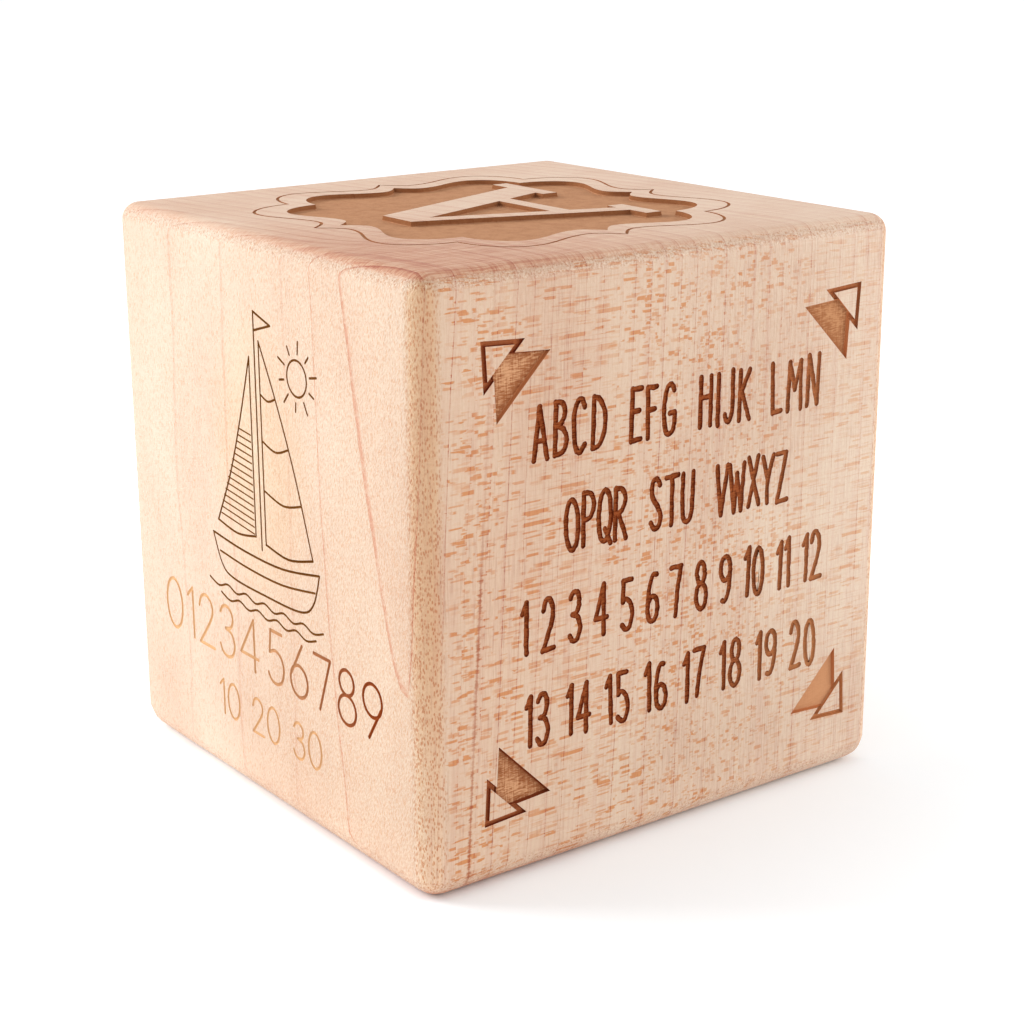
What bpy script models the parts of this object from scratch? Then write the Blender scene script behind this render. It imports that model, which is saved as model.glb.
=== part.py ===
"""Maple keepsake block: one solid cube of wood with eased edges and cut decoration.

The top carries a fine bracket-shaped line, a bracket-shaped sunk panel inside it and a slab-serif
letter left standing in the panel. One side carries a pair of overlapping triangles in each corner.
The grain runs along Z. Metres, +Z up, origin at the middle of the underside.
"""

import math

import bmesh
import bpy
from mathutils import Matrix, Vector

MM = 0.001

# Block
WIDTH = 62.0 * MM
DEPTH = 60.8 * MM
HEIGHT = 63.5 * MM
EDGE_RADIUS = 2.0 * MM
EDGE_STEPS = 5

# Bracket line cut round the panel on the top
FRAME_SIDE = 46.3 * MM
FRAME_MIDDLE = (-0.5 * MM, -0.4 * MM)
LINE_WIDTH = 0.35 * MM
LINE_DEPTH = 0.35 * MM

# Forms of the bracket outline, taken at the line's outer edge
TIP_REACH = 3.2 * MM
TIP_DEPTH = 2.5 * MM
LOBE_FROM_CORNER = 11.5 * MM
NOTCH_DEPTH = 6.6 * MM
TIP_STEPS = 4
WAVE_STEPS = 6
LOBE_STEPS = 8

# Sunk panel inside the line
RIM_WIDTH = 3.3 * MM
PANEL_DEPTH = 0.55 * MM

# Letter left standing in the panel
LETTER_HEIGHT = 25.5 * MM
LETTER_SPREAD = 20.0 * MM
THICK_STROKE = 5.4 * MM
THIN_STROKE = 2.3 * MM
BAR_STROKE = 2.1 * MM
BAR_RISE = 7.2 * MM
SERIF_THICKNESS = 2.0 * MM
SERIF_OVERHANG = 2.2 * MM

# Triangle pairs in the corners of the -Y side
ORNAMENT_MARGIN_SIDE = 5.8 * MM
ORNAMENT_MARGIN_END = 6.9 * MM
ORNAMENT_SHIFT = 1.2 * MM
OUTLINE_LEG = 5.25 * MM
OUTLINE_STROKE = 0.48 * MM
OUTLINE_DEPTH = 0.45 * MM
SOLID_LEG = 6.7 * MM
SOLID_OFFSET = 1.5 * MM
SOLID_DEPTH = 0.40 * MM
STROKE_OVERLAP = 0.25 * MM
LEG_SPLAY = math.radians(3.5)

# How far a cutter stands out of the wood, so that it leaves no skin
OVERCUT = 1.0 * MM

MAPLE_COLOUR = (0.80, 0.56, 0.40, 1.0)
MAPLE_ROUGHNESS = 0.55


def clear_scene():
    for obj in list(bpy.data.objects):
        bpy.data.objects.remove(obj, do_unlink=True)


def maple_material():
    material = bpy.data.materials.new("maple")
    material.use_nodes = True
    shader = material.node_tree.nodes["Principled BSDF"]
    shader.inputs["Base Color"].default_value = MAPLE_COLOUR
    shader.inputs["Roughness"].default_value = MAPLE_ROUGHNESS
    shader.inputs["Metallic"].default_value = 0.0
    return material


def link_mesh(name, form):
    """An object that holds the bmesh `form`, with its faces turned outwards."""
    bmesh.ops.recalc_face_normals(form, faces=form.faces)
    mesh = bpy.data.meshes.new(name)
    form.to_mesh(mesh)
    form.free()
    obj = bpy.data.objects.new(name, mesh)
    bpy.context.scene.collection.objects.link(obj)
    return obj


def prism(name, outline, low, high, placing):
    """A hidden helper: the flat `outline` filled and extruded from low to high, then placed."""
    form = bmesh.new()
    base = form.faces.new([form.verts.new((x, y, low)) for x, y in outline])
    raised = bmesh.ops.extrude_face_region(form, geom=[base])
    moved = [item for item in raised["geom"] if isinstance(item, bmesh.types.BMVert)]
    bmesh.ops.translate(form, vec=(0.0, 0.0, high - low), verts=moved)
    bmesh.ops.transform(form, matrix=placing, verts=form.verts)
    obj = link_mesh(name, form)
    obj.hide_render = True
    obj.display_type = "WIRE"
    return obj


def combine(target, operation, *others):
    """Adds one Boolean modifier to the target for each other object."""
    for other in others:
        modifier = target.modifiers.new(f"{operation.lower()} {other.name}", "BOOLEAN")
        modifier.operation = operation
        modifier.solver = "EXACT"
        modifier.object = other


def maple_block():
    """The plain cube with all its edges and corners rounded alike."""
    form = bmesh.new()
    bmesh.ops.create_cube(form, size=1.0)
    bmesh.ops.scale(form, vec=(WIDTH, DEPTH, HEIGHT), verts=form.verts)
    bmesh.ops.translate(form, vec=(0.0, 0.0, HEIGHT / 2), verts=form.verts)
    bmesh.ops.bevel(
        form,
        geom=form.edges[:],
        offset=EDGE_RADIUS,
        segments=EDGE_STEPS,
        profile=0.5,
        affect="EDGES",
        clamp_overlap=True,
    )
    block = link_mesh("maple_block", form)
    block.data.materials.append(maple_material())
    return block


def arc_fractions(steps):
    return [step / steps for step in range(1, steps + 1)]


def half_side(half_length, reach, scale):
    """Half of one side of the bracket outline, from its middle tip to its corner notch.

    The side looks along +Y at `reach` and runs along +X to the corner.
    """
    shoulder = Vector((TIP_REACH, reach - TIP_DEPTH * scale))
    shoulder.x *= scale
    lobe = Vector((half_length - LOBE_FROM_CORNER * scale, reach))
    notch = Vector((half_length - NOTCH_DEPTH * scale, reach - NOTCH_DEPTH * scale))
    points = [Vector((0.0, reach))]
    for share in arc_fractions(TIP_STEPS):
        sink = TIP_DEPTH * scale * math.sin(share * math.pi / 2)
        points.append(Vector((shoulder.x * share, reach - sink)))
    for share in arc_fractions(WAVE_STEPS):
        ease = (1 - math.cos(share * math.pi)) / 2
        along = shoulder.x + (lobe.x - shoulder.x) * share
        points.append(Vector((along, shoulder.y + (lobe.y - shoulder.y) * ease)))
    for share in arc_fractions(LOBE_STEPS):
        turn = share * math.pi / 2
        along = lobe.x + (notch.x - lobe.x) * math.sin(turn)
        points.append(Vector((along, notch.y + (lobe.y - notch.y) * math.cos(turn))))
    return points


def bracket_outline(inset):
    """The closed bracket outline, drawn smaller by `inset` on every side."""
    half = FRAME_SIDE / 2 - inset
    scale = half / (FRAME_SIDE / 2)
    outline = []
    for quarter in range(4):
        right = half_side(half, half, scale)
        left = [Vector((-point.x, point.y)) for point in reversed(right)]
        turn = Matrix.Rotation(-quarter * math.pi / 2, 2)
        outline += [turn @ point for point in left[:-1] + right[:-1]]
    return outline


def letter_strokes():
    """The letter's five strokes as flat outlines, upright, with the origin at its middle."""
    foot = LETTER_SPREAD / 2
    bottom = -LETTER_HEIGHT / 2
    top = LETTER_HEIGHT / 2
    thin_foot = -foot
    thick_foot = foot

    def leg(foot_x, apex_x, width):
        return [
            (foot_x - width / 2, bottom),
            (foot_x + width / 2, bottom),
            (apex_x + width / 2, top),
            (apex_x - width / 2, top),
        ]

    def slab(left, right, low, high):
        return [(left, low), (right, low), (right, high), (left, high)]

    def serif(foot_x, width):
        spread = width / 2 + SERIF_OVERHANG
        return slab(foot_x - spread, foot_x + spread, bottom, bottom + SERIF_THICKNESS)

    thin_apex = -(THICK_STROKE - THIN_STROKE) / 2
    bar_low = bottom + BAR_RISE
    share = BAR_RISE / LETTER_HEIGHT
    bar_left = thin_foot + (thin_apex - thin_foot) * share
    bar_right = thick_foot * (1 - share)
    return {
        "thin_leg": leg(thin_foot, thin_apex, THIN_STROKE),
        "thick_leg": leg(thick_foot, 0.0, THICK_STROKE),
        "bar": slab(bar_left, bar_right, bar_low, bar_low + BAR_STROKE),
        "thin_serif": serif(thin_foot, THIN_STROKE),
        "thick_serif": serif(thick_foot, THICK_STROKE),
    }


def cut_top(block):
    """Cuts the bracket line and the sunk panel, and leaves the letter standing."""
    top = Matrix.Translation((*FRAME_MIDDLE, HEIGHT))
    line = prism("line_cutter", bracket_outline(0.0), -LINE_DEPTH, OVERCUT, top)
    line_core = prism(
        "line_core", bracket_outline(LINE_WIDTH), -LINE_DEPTH - OVERCUT, 2 * OVERCUT, top
    )
    combine(line, "DIFFERENCE", line_core)
    panel = prism("panel_cutter", bracket_outline(RIM_WIDTH), -PANEL_DEPTH, OVERCUT, top)
    lying = top @ Matrix.Rotation(math.pi / 2, 4, "Z")
    for name, outline in letter_strokes().items():
        stroke = prism(
            f"letter_{name}", outline, -PANEL_DEPTH - OVERCUT, 2 * OVERCUT, lying
        )
        combine(panel, "DIFFERENCE", stroke)
    combine(block, "DIFFERENCE", line, panel)


def corner_triangle(corner, leg):
    """A right-angled triangle whose two legs run from `corner` to the right and down.

    Both legs turn inwards a little.
    """
    opening = Vector((math.cos(LEG_SPLAY), -math.sin(LEG_SPLAY)))
    across = corner + leg * opening
    down = corner + leg * Vector((-opening.y, -opening.x))
    return [corner, down, across]


def inner_triangle(triangle, stroke):
    """The triangle's outline moved in by `stroke` on all three sides, about its incentre."""
    sides = [
        (triangle[1] - triangle[2]).length,
        (triangle[2] - triangle[0]).length,
        (triangle[0] - triangle[1]).length,
    ]
    around = sum(sides)
    centre = sum((side * point for side, point in zip(sides, triangle)), Vector((0.0, 0.0)))
    centre /= around
    first = triangle[1] - triangle[0]
    second = triangle[2] - triangle[0]
    inradius = abs(first.x * second.y - first.y * second.x) / around
    share = 1 - stroke / inradius
    return [centre + (point - centre) * share for point in triangle]


def cut_corner_ornaments(block):
    """Cuts the same triangle pair, mirrored, into each corner of the -Y side.

    Where the filled and the outlined triangle overlap, the wood stays as it is.
    """
    reach_x = WIDTH / 2 - ORNAMENT_MARGIN_SIDE
    reach_z = HEIGHT / 2 - ORNAMENT_MARGIN_END
    corner = Vector((-reach_x, reach_z))
    outline = corner_triangle(corner, OUTLINE_LEG)
    solid_corner = corner + Vector((SOLID_OFFSET, -SOLID_OFFSET))
    solid = corner_triangle(solid_corner, SOLID_LEG)
    hollow = inner_triangle(outline, OUTLINE_STROKE)
    covered = inner_triangle(solid, STROKE_OVERLAP)
    side = Matrix.Translation((ORNAMENT_SHIFT, -DEPTH / 2, HEIGHT / 2))
    facing = side @ Matrix.Rotation(math.pi / 2, 4, "X")
    for right in (1, -1):
        for up in (1, -1):
            placing = facing @ Matrix.Diagonal((right, up, 1.0, 1.0))
            tag = f"{'left' if right > 0 else 'right'}_{'upper' if up > 0 else 'lower'}"
            low, high = -OUTLINE_DEPTH - OVERCUT, 3 * OVERCUT
            filled = prism(f"solid_{tag}", solid, -SOLID_DEPTH, OVERCUT, placing)
            combine(filled, "DIFFERENCE", prism(f"overlap_{tag}", outline, low, high, placing))
            stroke = prism(f"outline_{tag}", outline, -OUTLINE_DEPTH, 2 * OVERCUT, placing)
            core = prism(f"core_{tag}", hollow, low, high, placing)
            cover = prism(f"cover_{tag}", covered, low, high, placing)
            combine(stroke, "DIFFERENCE", core, cover)
            combine(filled, "UNION", stroke)
            combine(block, "DIFFERENCE", filled)


def main():
    clear_scene()
    block = maple_block()
    cut_top(block)
    cut_corner_ornaments(block)


main()
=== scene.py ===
"""Looks of a wooden keepsake block: one maple cube with engraved decoration on three faces.

The block is carved as by a laser: pen strokes and flat shapes are modelled as cutters and taken out
of one closed cube with eased edges. The wood is a solid procedural grain, so that rings and rays run
on from face to face. All lengths in the classes are millimetres, and meshes are in metres.
"""

import logging
import math
import random
from collections.abc import Mapping, Sequence
from dataclasses import dataclass, field, replace
from enum import Enum, IntEnum

import bpy
from mathutils import Matrix, Vector


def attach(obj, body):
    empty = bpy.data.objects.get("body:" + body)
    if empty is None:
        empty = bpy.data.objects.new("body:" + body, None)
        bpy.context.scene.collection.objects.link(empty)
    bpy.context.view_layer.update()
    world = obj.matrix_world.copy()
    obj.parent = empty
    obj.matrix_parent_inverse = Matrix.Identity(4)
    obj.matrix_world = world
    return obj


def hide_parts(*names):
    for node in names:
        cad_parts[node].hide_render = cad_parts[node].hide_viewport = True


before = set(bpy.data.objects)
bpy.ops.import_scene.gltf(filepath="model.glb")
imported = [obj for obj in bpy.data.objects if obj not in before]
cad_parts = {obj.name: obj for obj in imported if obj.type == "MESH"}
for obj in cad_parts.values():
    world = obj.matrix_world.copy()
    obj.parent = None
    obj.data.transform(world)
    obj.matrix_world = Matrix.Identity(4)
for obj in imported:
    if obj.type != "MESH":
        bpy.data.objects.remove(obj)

log = logging.getLogger("keepsake_block")

MM = 0.001
Point = tuple[float, float]
Stroke = list[Point]


# Places on the block


class Side(Enum):
    """An engraved side. A drawing on it has x to the right, y up and z out of the wood."""

    FRONT = "front"
    LEFT = "left"
    TOP = "top"


class Slot(IntEnum):
    """The block's material slots, by what they cover."""

    WOOD = 0
    CHARACTERS = 1
    FILLED_TRIANGLES = 2
    OUTLINED_TRIANGLES = 3
    PANEL = 4
    BRACKET_LINE = 5
    PICTURE = 6
    DIGITS = 7


@dataclass(frozen=True)
class BlockSize:
    """Outer sizes of the cube."""

    width: float = 62.0
    depth: float = 60.8
    height: float = 63.5
    edge_radius: float = 2.0
    low_radius: float = 2.9
    edge_steps: int = 6

    def placing(self, side: Side) -> Matrix:
        """The matrix from a drawing in millimetres, with its origin at the side's middle, to the block.

        Args:
            side: The engraved side that carries the drawing.

        Returns:
            A 4x4 matrix that also turns millimetres into metres.
        """
        if side is Side.FRONT:
            place = Matrix.Translation((0, -self.depth / 2, self.height / 2))
            turn = Matrix.Rotation(math.pi / 2, 4, "X")
        elif side is Side.LEFT:
            place = Matrix.Translation((-self.width / 2, 0, self.height / 2))
            turn = Matrix.Rotation(-math.pi / 2, 4, "Z") @ Matrix.Rotation(math.pi / 2, 4, "X")
        else:
            place = Matrix.Translation((0, 0, self.height))
            turn = Matrix.Identity(4)
        return Matrix.Scale(MM, 4) @ place @ turn


SIZE = BlockSize()

# How far cutters stand out of the wood, in millimetres. Those that meet differ, so that no two of their
# ends coincide. BELOW_FLOOR is how far under a cut's floor the shapes that stay standing begin.
LOW_TOP, MIDDLE_TOP, HIGH_TOP = 1.0, 1.5, 2.0
BELOW_FLOOR = 0.5


# Modelling by operators


class Workbench:
    """Small steps of modelling by hand, each done with Blender's operators."""

    @staticmethod
    def clear_selection() -> None:
        """Leaves edit mode and deselects everything."""
        if bpy.context.mode != "OBJECT":
            bpy.ops.object.mode_set(mode="OBJECT")
        bpy.ops.object.select_all(action="DESELECT")

    @staticmethod
    def pick(obj: bpy.types.Object, *others: bpy.types.Object) -> None:
        """Selects obj and others alone and makes obj the active one.

        Args:
            obj: The object to make active.
            others: More objects to select with it.
        """
        Workbench.clear_selection()
        for each in (obj, *others):
            each.select_set(True)
        bpy.context.view_layer.objects.active = obj

    @staticmethod
    def latest(name: str) -> bpy.types.Object:
        """The object that an operator has just added, under the given name."""
        obj = bpy.context.view_layer.objects.active
        obj.name = name
        return obj

    @staticmethod
    def to_mesh(obj: bpy.types.Object) -> bpy.types.Object:
        """Turns a curve object into a closed mesh with its normals outwards.

        Args:
            obj: The curve object.

        Returns:
            The same object, now a mesh.
        """
        Workbench.pick(obj)
        bpy.ops.object.convert(target="MESH")
        obj = bpy.context.view_layer.objects.active
        Workbench.tidy_mesh(obj)
        return obj

    @staticmethod
    def tidy_mesh(obj: bpy.types.Object) -> None:
        """Merges doubled vertices and turns the normals outwards.

        Args:
            obj: The mesh object.
        """
        Workbench.pick(obj)
        bpy.ops.object.mode_set(mode="EDIT")
        bpy.ops.mesh.select_all(action="SELECT")
        bpy.ops.mesh.remove_doubles(threshold=1e-7)
        bpy.ops.mesh.normals_make_consistent(inside=False)
        bpy.ops.object.mode_set(mode="OBJECT")

    @staticmethod
    def outline_prism(
        name: str, outline: Sequence[Point], low: float, high: float, draft: float, place: Matrix
    ) -> bpy.types.Object:
        """A filled outline drawn up into a prism whose foot is smaller by the draft.

        Args:
            name: The object's name.
            outline: The corners at the height of the wood's surface, in millimetres.
            low: The floor's height, in millimetres, below zero.
            high: The upper end's height, in millimetres.
            draft: How far each wall leans in for each millimetre of height.
            place: The matrix from the drawing to the block.

        Returns:
            The prism as an object at the origin.
        """
        Workbench.clear_selection()
        bpy.ops.mesh.primitive_circle_add(vertices=len(outline), radius=1.0, fill_type="NGON")
        obj = Workbench.latest(name)
        normals = corner_normals(outline)
        for vertex, (x, y), (nx, ny) in zip(obj.data.vertices, outline, normals):
            vertex.co = (x + nx * draft * low, y + ny * draft * low, low)
        bpy.ops.object.mode_set(mode="EDIT")
        bpy.ops.mesh.select_all(action="SELECT")
        bpy.ops.mesh.extrude_region_move(TRANSFORM_OT_translate={"value": (0, 0, high - low)})
        bpy.ops.object.mode_set(mode="OBJECT")
        for vertex in obj.data.vertices:
            if vertex.co.z > low + 1e-6:
                nx, ny = normals[vertex.index % len(outline)]
                vertex.co.x += nx * draft * (high - low)
                vertex.co.y += ny * draft * (high - low)
        obj.data.transform(place)
        Workbench.tidy_mesh(obj)
        return obj

    @staticmethod
    def cut(target: bpy.types.Object, cutters: Sequence[bpy.types.Object], how: str) -> None:
        """Applies one Boolean of the target with each cutter, and deletes the cutters.

        Args:
            target: The mesh that is changed.
            cutters: The meshes to combine it with, in order.
            how: DIFFERENCE or UNION.
        """
        for cutter in cutters:
            modifier = target.modifiers.new("carving", "BOOLEAN")
            modifier.operation = how
            modifier.solver = "MANIFOLD"
            modifier.object = cutter
            Workbench.pick(target)
            bpy.ops.object.modifier_apply(modifier=modifier.name)
            bpy.data.objects.remove(cutter, do_unlink=True)


def corner_normals(outline: Sequence[Point]) -> list[Point]:
    """The outward direction at each corner, as long as keeps both walls moving out by one.

    Args:
        outline: The corners of a closed outline.

    Returns:
        One direction for each corner.
    """
    count = len(outline)
    points = [Vector(point) for point in outline]
    area = sum(points[i - 1].x * points[i].y - points[i].x * points[i - 1].y for i in range(count))
    turn = 1.0 if area > 0 else -1.0
    found: list[Point] = []
    for i in range(count):
        before = (points[i] - points[i - 1]).normalized()
        after = (points[(i + 1) % count] - points[i]).normalized()
        first = Vector((before.y, -before.x)) * turn
        second = Vector((after.y, -after.x)) * turn
        middle = (first + second).normalized()
        reach = 1.0 / max(0.35, middle.dot(second))
        found.append((middle.x * reach, middle.y * reach))
    return found


def contains(outline: Sequence[Point], x: float, y: float) -> bool:
    """Whether a point lies inside a closed outline.

    Args:
        outline: Its corners.
        x: The point's first coordinate.
        y: The point's second coordinate.

    Returns:
        True inside.
    """
    inside = False
    for (ax, ay), (bx, by) in zip(outline, [*outline[1:], outline[0]]):
        if (ay > y) != (by > y) and x < ax + (y - ay) / (by - ay) * (bx - ax):
            inside = not inside
    return inside


def smooth_path(points: Sequence[Point], steps: int, closed: bool = False) -> Stroke:
    """A smooth line through the points, by Catmull-Rom steps.

    Args:
        points: The points that the line passes through.
        steps: How many short pieces lie between two points.
        closed: Whether the line returns to its first point.

    Returns:
        The points of the smooth line. A closed line doesn't repeat its first point.
    """
    if len(points) < 3:
        return list(points)
    count = len(points)
    line: Stroke = []
    for i in range(count if closed else count - 1):
        if closed:
            around = [points[(i + k) % count] for k in (-1, 0, 1, 2)]
        else:
            around = [points[min(max(i + k, 0), count - 1)] for k in (-1, 0, 1, 2)]
        a, b, c, d = (Vector(point) for point in around)
        for step in range(steps):
            t = step / steps
            place = 0.5 * (
                2 * b + (c - a) * t + (2 * a - 5 * b + 4 * c - d) * t**2 + (3 * b - a - 3 * c + d) * t**3
            )
            line.append((place.x, place.y))
    if not closed:
        line.append(points[-1])
    return line


def closer_points(path: Stroke, step: float, closed: bool = False) -> Stroke:
    """The same line with more points on it.

    Args:
        path: The line.
        step: How far apart two of its new points may lie.
        closed: Whether the line returns to its first point.

    Returns:
        The points of the finer line.
    """
    finer: Stroke = []
    ends = path[1:] + path[:1] if closed else path[1:]
    for (ax, ay), (bx, by) in zip(path, ends):
        pieces = max(1, math.ceil(math.hypot(bx - ax, by - ay) / step))
        finer += [(ax + (bx - ax) * i / pieces, ay + (by - ay) * i / pieces) for i in range(pieces)]
    return finer if closed else finer + path[-1:]


def ring_path(centre: Point, across: float, tall: float, count: int = 20) -> Stroke:
    """A closed ellipse.

    Args:
        centre: Its middle.
        across: Its half width.
        tall: Its half height.
        count: Its number of points.

    Returns:
        The points, without a repeated first one.
    """
    turns = [2 * math.pi * i / count for i in range(count)]
    return [(centre[0] + across * math.sin(t), centre[1] + tall * math.cos(t)) for t in turns]


@dataclass(frozen=True)
class PenLine:
    """One stroke of the laser: a line and whether it closes on itself."""

    points: Stroke
    closed: bool = False


# How a tool narrows to a round end, as pairs of distance and share of its radius.
ROUND_END = ((0.0, 0.12), (0.10, 0.44), (0.35, 0.76), (0.7, 0.95), (1.0, 1.0))


@dataclass(frozen=True)
class Pen:
    """A groove as the laser leaves it: round, or with a flat floor where the round tool is trimmed.

    Each layer of lines is finer by the given width and depth than the one before.
    """

    width: float
    depth: float
    trimmed: float = 0.0
    ragged: float = 0.0
    finer: Point = (0.0, 0.0)
    sides: int = 3

    @property
    def reach(self) -> float:
        """How deep the round tool would cut before it is trimmed."""
        return self.depth + self.trimmed

    @property
    def radius(self) -> float:
        """The round tool's radius that gives this width at the surface and this reach."""
        return (self.width**2 / 4 + self.reach**2) / (2 * self.reach)

    def carve(
        self, block: bpy.types.Object, name: str, layers: Sequence[Sequence[PenLine]], place: Matrix
    ) -> None:
        """Cuts layers of lines into a block.

        Args:
            block: The block.
            name: What the lines are called.
            layers: Lists of lines. Lines of one list may not touch, those of two may.
            place: The matrix from the drawing to the block.
        """
        for number, lines in enumerate(layers):
            width, depth = self.width - self.finer[0] * number, self.depth - self.finer[1] * number
            tool = replace(self, width=width, depth=depth).tool(f"{name}_{number}", lines, place)
            Workbench.cut(block, [tool], "DIFFERENCE")

    def tool(self, name: str, lines: Sequence[PenLine], place: Matrix) -> bpy.types.Object:
        """The cutter that sinks these lines into a side. No two of them may cross.

        Args:
            name: The object's name.
            lines: The lines in the drawing, in millimetres.
            place: The matrix from the drawing to the block.

        Returns:
            The closed cutter mesh.
        """
        Workbench.clear_selection()
        bpy.ops.curve.primitive_nurbs_path_add()
        obj = Workbench.latest(name)
        curve = obj.data
        curve.splines.clear()
        lift = self.radius - self.reach
        dice = random.Random(len(lines))
        for line in lines:
            spline = curve.splines.new("POLY")
            places = [Vector((x, y, lift)) for x, y in line.points]
            widths = [1.0] * len(places)
            if not line.closed:
                places, widths = self.round_ends(places)
            spline.points.add(len(places) - 1)
            for point, at, share in zip(spline.points, places, widths):
                point.co = (*(place @ at), 1.0)
                point.radius = share * (1 + dice.uniform(-1, 1) * self.ragged)
            spline.use_cyclic_u = line.closed
        curve.bevel_depth = self.radius * MM
        curve.bevel_resolution = self.sides
        curve.use_fill_caps = True
        tool = Workbench.to_mesh(obj)
        if self.trimmed:
            half = SIZE.height
            square = [(-half, -half), (half, -half), (half, half), (-half, half)]
            above = Workbench.outline_prism("above_floor", square, -self.depth, HIGH_TOP, 0.0, place)
            Workbench.cut(tool, [above], "INTERSECT")
        return tool

    def round_ends(self, places: list[Vector]) -> tuple[list[Vector], list[float]]:
        """Adds points near both ends of a line where the tool narrows to a round tip.

        Args:
            places: The line's points.

        Returns:
            The new points, and the share of the tool's radius at each.
        """
        reach = self.width / 2
        head = (places[0] - places[1]).normalized()
        tail = (places[-1] - places[-2]).normalized()
        start = [places[0] + head * reach * (1 - along) for along, _ in ROUND_END]
        end = [places[-1] + tail * reach * (1 - along) for along, _ in reversed(ROUND_END)]
        inner = places[1:-1]
        shares = [share for _, share in ROUND_END]
        return start + inner + end, shares + [1.0] * len(inner) + shares[::-1]


# Character drawings


@dataclass(frozen=True)
class Glyph:
    """One character: its width and its strokes, on a height of 1."""

    width: float
    strokes: tuple[tuple[Point, ...], ...]
    closed: tuple[int, ...] = ()


def loop(across: float, low: float, high: float, left: float = 0.0) -> tuple[Point, ...]:
    """Eight points round an upright oval.

    Args:
        across: The oval's width.
        low: Its lowest height.
        high: Its greatest height.
        left: Where it begins.

    Returns:
        The points, from the top to the right and round.
    """
    middle, half = (low + high) / 2, (high - low) / 2
    turns = [math.pi * i / 4 for i in range(8)]
    return tuple((left + across / 2 * (1 + math.sin(t)), middle + half * math.cos(t)) for t in turns)


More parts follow.
